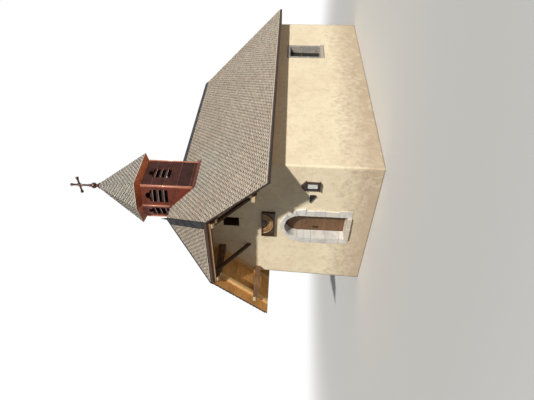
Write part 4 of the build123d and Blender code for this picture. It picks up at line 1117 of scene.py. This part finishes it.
def doorway():
    rng = random.Random(5)
    stones, bed = Parts(), Parts()
    back = FOOT_Y + REVEAL
    for side, joints in JAMB_JOINTS:
        marks = (FOUNDATION_Z, *joints, RING_Z)
        for low, high in zip(marks, marks[1:]):
            reach = RING_HALF - rng.choice(JAMB_SHORTS)
            upper = reach + rng.uniform(-0.025, 0.0)
            lower = reach + rng.uniform(-0.025, 0.0)
            shape = [(DOOR_HALF, low), (lower, low), (upper, high), (DOOR_HALF, high)]
            if side < 0:
                shape = [(-x, z) for x, z in reversed(shape)]
            stone(stones, shape, back, JAMB_PROUD, rng)
    side_angle = 90 - KEY_HALF
    edges = [side_angle * i / ARCH_STONES for i in range(ARCH_STONES + 1)]
    bands = list(zip(edges, edges[1:]))
    bands += [(180 - b, 180 - a) for a, b in bands] + [(side_angle, 90 + KEY_HALF)]
    steps = 8
    for a, b in bands:
        keystone = a < 90 < b
        swell = 0.0 if keystone else rng.choice(ARCH_SWELLS)
        angles = [a + (b - a) * i / steps for i in range(steps + 1)]
        outer = [ring_at(angle, RING_HALF + swell - 0.007 * (1 + math.sin(angle * 0.7))) for angle in angles]
        inner = [opening_at(angle) for angle in reversed(angles)]
        stone(stones, outer + inner, back, KEY_PROUD if keystone else ARCH_PROUD, rng)
    stones.build("surround_stones", "grey_stone", "grey_stone",
                 "door_jambs", "door_arch_stones", "door_keystone", bevel=(0.010, 3))
    # Mortar fills the joints a little behind the faces
    rim = RING_HALF - 0.120
    front, rear = FOOT_Y - 0.006, back - 0.006
    for side in (-1, 1):
        x0, x1 = sorted((side * (DOOR_HALF + MORTAR_DEPTH), side * rim))
        bed.box((x0, front, FOUNDATION_Z), (x1, rear, RING_Z), grain=2)
    for i in range(MORTAR_STEPS):
        a, b = 180 * i / MORTAR_STEPS, 180 * (i + 1) / MORTAR_STEPS
        shape = [ring_at(a, rim), ring_at(b, rim), opening_at(b, MORTAR_DEPTH), opening_at(a, MORTAR_DEPTH)]
        upright_prism(bed, shape, rear, front)
    bed.build("surround_mortar", "mortar", "grey_stone")


SLAB_JOINT = 0.008                  # gap between two slabs of the floor


def threshold(rng):
    """Two slabs in the doorway and one behind them."""
    low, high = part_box("door_threshold")
    slabs = Parts()
    back = FOOT_Y + REVEAL
    edge = DOOR_HALF - 0.002
    foot = low[2] + 0.002
    slabs.box((-edge, low[1], foot), (0.07, back, high[2]), tinted(rng))
    slabs.box((0.076, low[1] + 0.012, foot), (edge, back, high[2] - 0.003), tinted(rng))
    slabs.box((low[0], back + 0.001, foot), (high[0], high[1] - 0.002, high[2]), tinted(rng))
    slabs.build("threshold_slabs", "pale_stone", "grey_stone", "door_threshold", bevel=(0.012, 3))


def floors():
    """The threshold's slabs, and the room's slabs on their bed."""
    rng = random.Random(8)
    threshold(rng)
    low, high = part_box("stone_floor")
    inside = HALF_WIDTH - WALL
    slabs, bed = Parts(), Parts()
    y = low[1] + 0.004
    while y < high[1] - 0.05:
        depth = min(rng.uniform(0.50, 0.72), high[1] - 0.004 - y)
        # The floor narrows in the apse, between the walls' slanting inner faces
        past = y + depth - APSE_Y
        reach = min(inside, inside * math.sqrt(2) - past) if past > 0 else inside
        x = -reach + 0.003
        while x < reach - 0.02:
            width = min(rng.uniform(0.55, 0.95), reach - 0.003 - x)
            if reach - x - width < 0.25:
                width = reach - 0.003 - x
            top = high[2] - rng.uniform(0, 0.002)
            far = (x + width - SLAB_JOINT, y + depth - SLAB_JOINT, top)
            slabs.box((x, y, low[2] + 0.05), far, tinted(rng, 0.10))
            x += width
        y += depth
    slabs.build("floor_slabs", "pale_stone", "floor_stone", bevel=(0.005, 2))
    corner = inside * HALF_TURN
    shape = [(-inside, low[1]), (inside, low[1]), (inside, APSE_Y + corner), (corner, APSE_Y + inside),
             (-corner, APSE_Y + inside), (-inside, APSE_Y + corner)]
    under, over = ([Vector((x, y, z)) for x, y in shape] for z in (low[2], high[2] - 0.010))
    bed.prism(under, over, shape)
    bed.build("floor_bed", "mortar", "floor_stone", "stone_floor")


WINDOW_STONE = 0.140                # width of the window's stones
WINDOW_JOINT = 0.002                # half of the joint between two of them
SIDE_PROUD, LINTEL_PROUD, SILL_PROUD = 0.012, 0.014, 0.050  # how far they stand out from the wall
CATCH_DEPTH = 0.022                 # of the sash's iron catch


def window_stones():
    rng = random.Random(17)
    (_, y0, z0), (_, y1, z1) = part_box("window_frames")
    sill_low, sill_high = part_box("window_sills")
    sash_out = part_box("window_sashes")[1][0]
    seat = sash_out + 0.001
    middle = (y0 + y1) / 2
    stones, sills, catches = Parts(), Parts(), Parts()

    def block(parts, side, ys, zs, proud):
        """A block whose outer face leans with the wall."""
        rows = []
        for z in zs:
            out = HALF_WIDTH - LEAN * z + proud
            row = [Vector((side * x, y, z)) for x, y in
                   ((seat, ys[0]), (seat, ys[1]), (out, ys[1]), (out, ys[0]))]
            rows.append(row[::-1] if side > 0 else row)
        parts.prism(rows[0], rows[1], [(v.y, v.x) for v in rows[0]], tinted(rng, 0.09, 0.02))

    for side in (1, -1):
        for ya, yb in ((y0, y0 + WINDOW_STONE), (y1 - WINDOW_STONE, y1)):
            marks = [z0, z0 + rng.uniform(0.40, 0.5), z0 + rng.uniform(0.85, 0.95), z1 - WINDOW_STONE]
            for za, zb in zip(marks, marks[1:]):
                block(stones, side, (ya, yb), (za + WINDOW_JOINT, zb - WINDOW_JOINT), SIDE_PROUD)
        block(stones, side, (y0, y1), (z1 - WINDOW_STONE + WINDOW_JOINT, z1), LINTEL_PROUD)
        block(sills, side, (sill_low[1], sill_high[1]), (sill_low[2], sill_high[2] - 0.001), SILL_PROUD)
        x0, x1 = sorted((side * sash_out, side * (sash_out + CATCH_DEPTH)))
        catches.box((x0, middle - 0.02, z0 + 0.60), (x1, middle + 0.02, z0 + 0.70))
        catches.box((x0, middle - 0.06, z0 + 0.645), (x1, middle + 0.02, z0 + 0.665))
    # Painted shade: the stones and sills take darker looks, as in the shadow of trees
    stones.build("window_stones", "shaded_window_stone", "grey_stone", "window_frames", bevel=(0.007, 3))
    sills.build("window_sill_slabs", "shaded_sill_stone", "grey_stone", "window_sills", bevel=(0.010, 3))
    catches.build("window_catches", "iron", "painted_timber", bevel=(0.003, 2))


# The door's leaf: boards across its face, planks upright behind them

FRONT_BOARD = 0.152                 # height of a board
UPRIGHT_PLANKS = 7
DOOR_JOINT = 0.0015                 # half of the joint between two boards
ARCH_STEPS = 32
WIDE, TALL = 1, 9                   # more than the leaf's half width and height
NAIL = [(0, 0), (0.008, 0), (0.006, 0.004), (0, 0.0055)]
NAIL_PLACES = (-1, -0.36, 0.36, 1)  # across the leaf, as shares of its reach


def door_leaf():
    rng = random.Random(31)
    low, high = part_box("door_leaf")
    half = high[0]
    spring = high[2] - half
    turns = [math.pi * i / ARCH_STEPS for i in range(ARCH_STEPS + 1)]
    arch = [(half * math.cos(t), spring + half * math.sin(t)) for t in turns]
    outline = [(-half, low[2]), (half, low[2])] + arch
    middle = low[1] + 0.028
    boards, planks, nails = Parts(), Parts(), Parts()

    def lay(parts, across, heights, back, front, along_x, spread):
        """A board over a part of the leaf; its grain runs along X or upright."""
        (x0, x1), (z0, z1) = across, heights
        piece = clipped([(x0, z0), (x1, z0), (x1, z1), (x0, z1)], outline)
        shift = rng.uniform(0, 30)
        uv = [(z + shift, x + shift) if along_x else (x + shift, z) for x, z in piece]
        upright_prism(parts, piece, back, front, tinted(rng, *spread), uv=uv)

    z = low[2]
    while z < high[2] - 0.01:
        top = z + FRONT_BOARD
        front = low[1] + rng.uniform(0.0, 0.0015)
        lay(boards, (-WIDE, WIDE), (z + DOOR_JOINT, top - DOOR_JOINT), middle, front, True, (0.16, 0.05))
        z = top
    boards.build("door_boards", "door_planks", "door_planks", "door_leaf", body=DOOR, bevel=(0.005, 2))
    width = 2 * half / UPRIGHT_PLANKS
    for i in range(UPRIGHT_PLANKS):
        across = (-half + i * width + DOOR_JOINT, -half + (i + 1) * width - DOOR_JOINT)
        lay(planks, across, (0, TALL), high[1], middle + 0.0005, False, (0.12, 0.04))
    planks.build("door_inner_planks", "door_planks", "door_planks", body=DOOR, bevel=(0.003, 2))
    z = low[2] + FRONT_BOARD / 2
    while z < high[2] - 0.1:
        reach = half if z < spring else math.sqrt(half ** 2 - (z - spring) ** 2)
        for place in NAIL_PLACES:
            x = (reach - 0.08) * place
            spot = (x + rng.uniform(-0.006, 0.006), low[1] + 0.001, z + rng.uniform(-0.01, 0.01))
            nails.stud(NAIL, spot, 8)
        z += FRONT_BOARD
    nails.build("door_nails", "iron", "iron", body=DOOR)


GRIP = [(0, 0), (0.020, 0), (0.016, 0.006), (0.010, 0.010), (0.010, 0.026), (0.013, 0.030), (0, 0.031)]
KEYHOLE = [(0, 0), (0.011, 0), (0.009, 0.003), (0, 0.003)]
PLATE_HALF = (0.035, 0.095)         # half width and half height of the plate
PULL_RADIUS, PULL_BAR, PULL_STEPS = 0.041, 0.0065, 28


def door_handle():
    """A plate with a ring pull and a keyhole."""
    leaf_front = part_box("door_leaf")[0][1]
    low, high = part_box("door_handle")
    cx, cz = (low[0] + high[0]) / 2, high[2] - PLATE_HALF[1]
    handle = Parts()
    handle.box((cx - PLATE_HALF[0], leaf_front - 0.006, cz - PLATE_HALF[1]),
               (cx + PLATE_HALF[0], leaf_front + 0.0005, cz + PLATE_HALF[1]))
    handle.stud(GRIP, (cx, leaf_front - 0.004, cz), 16)
    handle.stud(KEYHOLE, (cx, leaf_front - 0.005, cz - 0.076), 12)
    pull = []
    for i in range(PULL_STEPS):
        t = 2 * math.pi * i / PULL_STEPS
        pull.append(Vector((cx + PULL_RADIUS * math.sin(t), leaf_front - 0.0255,
                            cz - 0.036 + PULL_RADIUS * math.cos(t))))
    handle.tube(pull, PULL_BAR)
    handle.build("door_handle_piece", "iron", "iron", "door_handle", body=DOOR, bevel=(0.0015, 2))


# Things on the front wall

LINING = 0.008                      # thickness of the boards in the gable's opening


def attic_shade_lining():
    """Dark boards round the inside of the small opening in the gable: painted shade that keeps the opening
    dark.
    """
    front = FOOT_Y + LEAN * ATTIC_HIGH + 0.004
    back = FOOT_Y + WALL - 0.02
    low, high, half = ATTIC_LOW + 0.0005, ATTIC_HIGH - 0.0005, ATTIC_HALF - 0.0005
    lining = Parts()
    for x0, x1 in ((-half, -half + LINING), (half - LINING, half)):
        lining.box((x0, front, low), (x1, back, high), grain=2)
    for z0, z1 in ((low, low + LINING), (high - LINING, high)):
        lining.box((-half + LINING, front, z0), (half - LINING, back, z1))
    lining.build("attic_shade_lining", "dark_timber", "dark_timber")


# The garland's section: shares of its half width, from the middle outward, and of its depth
SWAG = [(0.50, 0.0), (0.50, 0.55), (0.52, 0.80), (0.56, 0.82), (0.585, 0.55), (0.66, 0.72), (0.76, 0.80),
        (0.86, 0.68), (0.905, 0.48), (0.93, 0.78), (0.97, 0.80), (1.0, 0.55), (1.0, 0.0)]
SWAG_STEPS, LEAVES, BEADS = 120, 15, 27
BEAD = [(0, -0.004), (0.011, -0.004), (0.009, 0.004), (0, 0.007)]
OVAL_ROWS, OVAL_TURNS = 6, 24


def garland():
    """A carved swag: a half oval with raised rims and leaves between them."""
    low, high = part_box("niche_garland")
    cx = (low[0] + high[0]) / 2
    half, drop, depth = (high[0] - low[0]) / 2, high[2] - low[2], high[1] - low[1]

    def spot(turn, across, down, rise):
        """A place by its angle, its shares of the half width and of the drop, and its share of the depth."""
        return Vector((cx + half * across * math.cos(turn), high[1] - depth * rise,
                       high[2] + drop * down * math.sin(turn)))

    verts, faces = [], []
    for i in range(SWAG_STEPS + 1):
        leaf = 0.5 + 0.5 * math.cos(2 * math.pi * i * LEAVES / SWAG_STEPS)
        for share, height in SWAG:
            rise = height - (0.34 * leaf if 0.60 < share < 0.90 else 0)
            verts.append(spot(math.pi * (1 + i / SWAG_STEPS), share, share, rise))
    n = len(SWAG)
    for i in range(SWAG_STEPS):
        faces += [[a, a + n, a + n + 1, a + 1] for a in range(i * n, i * n + n - 1)]
    faces.append(list(range(n)))
    faces.append(list(range(SWAG_STEPS * n, SWAG_STEPS * n + n))[::-1])
    mesh_object("carved_garland", verts, faces, "carved_wood", "carved_timber", ("niche_garland",))
    # The bulging oval inside it
    verts, faces = [], []
    n = OVAL_TURNS + 1
    for row in range(OVAL_ROWS + 1):
        share = row / OVAL_ROWS
        bulge = 0.75 * math.sqrt(1 - share ** 2 * 0.9)
        verts += [spot(math.pi * (1 + i / OVAL_TURNS), 0.42 * share, 0.45 * share, bulge) for i in range(n)]
    for row in range(OVAL_ROWS):
        faces += [[a, a + 1, a + n + 1, a + n] for a in range(row * n, row * n + OVAL_TURNS)]
    mesh_object("niche_oval", verts, faces, "niche_wood", "dark_timber", smooth=True)
    beads = Parts()
    for i in range(BEADS):
        beads.stud(BEAD, spot(math.pi * (1 + (i + 0.5) / BEADS), 0.945, 0.945, 0.70), 8)
    for side in (-1, 1):
        for share, radius in ((0.60, 0.020), (0.74, 0.026), (0.88, 0.020)):
            place = (cx + side * half * share, high[1] - depth * 0.66, high[2] - radius)
            knot = [(0, -0.004), (radius, -0.004), (radius * 0.9, 0.005), (radius * 0.45, 0.011), (0, 0.012)]
            beads.stud(knot, place, 14)
    beads.build("garland_beads", "carved_wood", "carved_timber", smooth=True)


# Half width, near and far face, foot and top of the two, from the case's opening
NOTICE_SHEET = (0.092, 0.034, 0.0365, 0.060, 0.375)
NOTICE_PANE = (0.121, 0.010, 0.014, 0.034, 0.401)


def notices():
    """A blank sheet behind a pane, in the small gabled case."""
    low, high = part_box("notice_case")
    cx = (low[0] + high[0]) / 2
    front, z = low[1] + 0.025, low[2] + 0.028
    for name, look, slot, (half, near, far, foot, top) in (
            ("notice_sheet", "paper", "painted_timber", NOTICE_SHEET),
            ("notice_pane", "clear_pane", "glass", NOTICE_PANE)):
        part = Parts()
        part.box((cx - half, front + near, z + foot), (cx + half, front + far, z + top))
        part.build(name, look, slot)


# The camera, at the photograph's viewing angle. The stored frame lies on its side.

CAMERA_ANGLES = (44.317, 1.501, 2.603)  # yaw, pitch and roll, in degrees
CAMERA_PLACE = (11.451, -16.141, 3.237)
CAMERA_LENS, CAMERA_SENSOR = 29.706, 36


def camera():
    yaw, pitch, roll = (math.radians(a) for a in CAMERA_ANGLES)
    forward = Vector((-math.sin(yaw) * math.cos(pitch), math.cos(yaw) * math.cos(pitch), math.sin(pitch)))
    right = Vector((math.cos(yaw), math.sin(yaw), 0))
    up = right.cross(forward)
    level_right = math.cos(roll) * right + math.sin(roll) * up
    level_up = -math.sin(roll) * right + math.cos(roll) * up
    data = bpy.data.cameras.new("camera")
    data.sensor_width = CAMERA_SENSOR
    data.lens = CAMERA_LENS
    data.clip_end = 500
    obj = bpy.data.objects.new("camera", data)
    bpy.context.scene.collection.objects.link(obj)
    axes = Matrix((-level_up, level_right, -forward)).transposed()
    obj.matrix_world = Matrix.Translation(CAMERA_PLACE) @ axes.to_4x4()
    bpy.context.scene.camera = obj


SKY, SKY_STRENGTH = (0.90, 0.94, 1.0, 1), 0.18
SUN, SUN_STRENGTH = (1.0, 0.965, 0.90), 4.0
SUN_WIDTH = 2                       # in degrees
SUN_WAY = (-1, 0.76, -0.67)         # the way its light goes
FLOOR_RADIUS = 90
FLOOR_LIT, FLOOR_SEEN = (0.26, 0.25, 0.23), (0.66, 0.66, 0.65)
FLOOR_FADE = 60.0                   # the floor turns white between two shares of this distance
FADE_FROM, FADE_TO = 0.20, 0.48


def studio():
    """One sun, a pale sky, and a floor that fades into a white background."""
    scene = bpy.context.scene
    scene.view_settings.view_transform = "Standard"
    scene.world = bpy.data.worlds.new("world")
    sky = Nodes(scene.world)
    fill = sky.add("Background", {"Color": SKY, "Strength": SKY_STRENGTH})
    shown = sky.add("Background", {"Color": WHITE, "Strength": 1.0})
    blend = sky.add("MixShader", {0: sky.seen_directly(), 1: fill.outputs[0], 2: shown.outputs[0]})
    sky.add("OutputWorld", {0: blend.outputs[0]})

    data = bpy.data.lights.new("key", "SUN")
    data.energy = SUN_STRENGTH
    data.angle = math.radians(SUN_WIDTH)
    data.color = SUN
    key = bpy.data.objects.new("key", data)
    scene.collection.objects.link(key)
    key.rotation_mode = "QUATERNION"
    key.rotation_quaternion = Vector(SUN_WAY).to_track_quat("-Z", "Y")

    bpy.ops.mesh.primitive_circle_add(vertices=96, radius=FLOOR_RADIUS, fill_type="NGON", location=(0, 0, 0))
    floor = bpy.context.object
    floor.name = "floor"
    look = Look("floor")
    # The floor shows pale, but throws back no more light than ground does
    look.finish(look.mix(FLOOR_LIT, FLOOR_SEEN, look.add("LightPath").outputs["Is Camera Ray"]), 0.9)
    coords = look.add("TexCoord").outputs["Object"]
    distance = look.add("VectorMath", {0: coords}, operation="LENGTH").outputs["Value"]
    away = look.ramp_along(distance, FLOOR_FADE, (FADE_FROM, 0.0), (FADE_TO, 1.0), mode="EASE")
    glow = look.add("Emission", {"Color": WHITE, "Strength": 1.0})
    share = look.times(away, look.seen_directly())
    blend = look.add("MixShader", {0: share, 1: look.shader.outputs[0], 2: glow.outputs[0]})
    look.fill(look.out, {0: blend.outputs[0]})
    floor.data.materials.append(M["floor"])


for make in (dress_nodes, roof, ridge_seams, belfry_seams, belfry_edges, spire, finial, hip_lath, front_skin,
             side_skins, apse_skins, doorway, floors, window_stones, door_leaf, door_handle, attic_shade_lining,
             garland, notices, camera, studio):
    make()
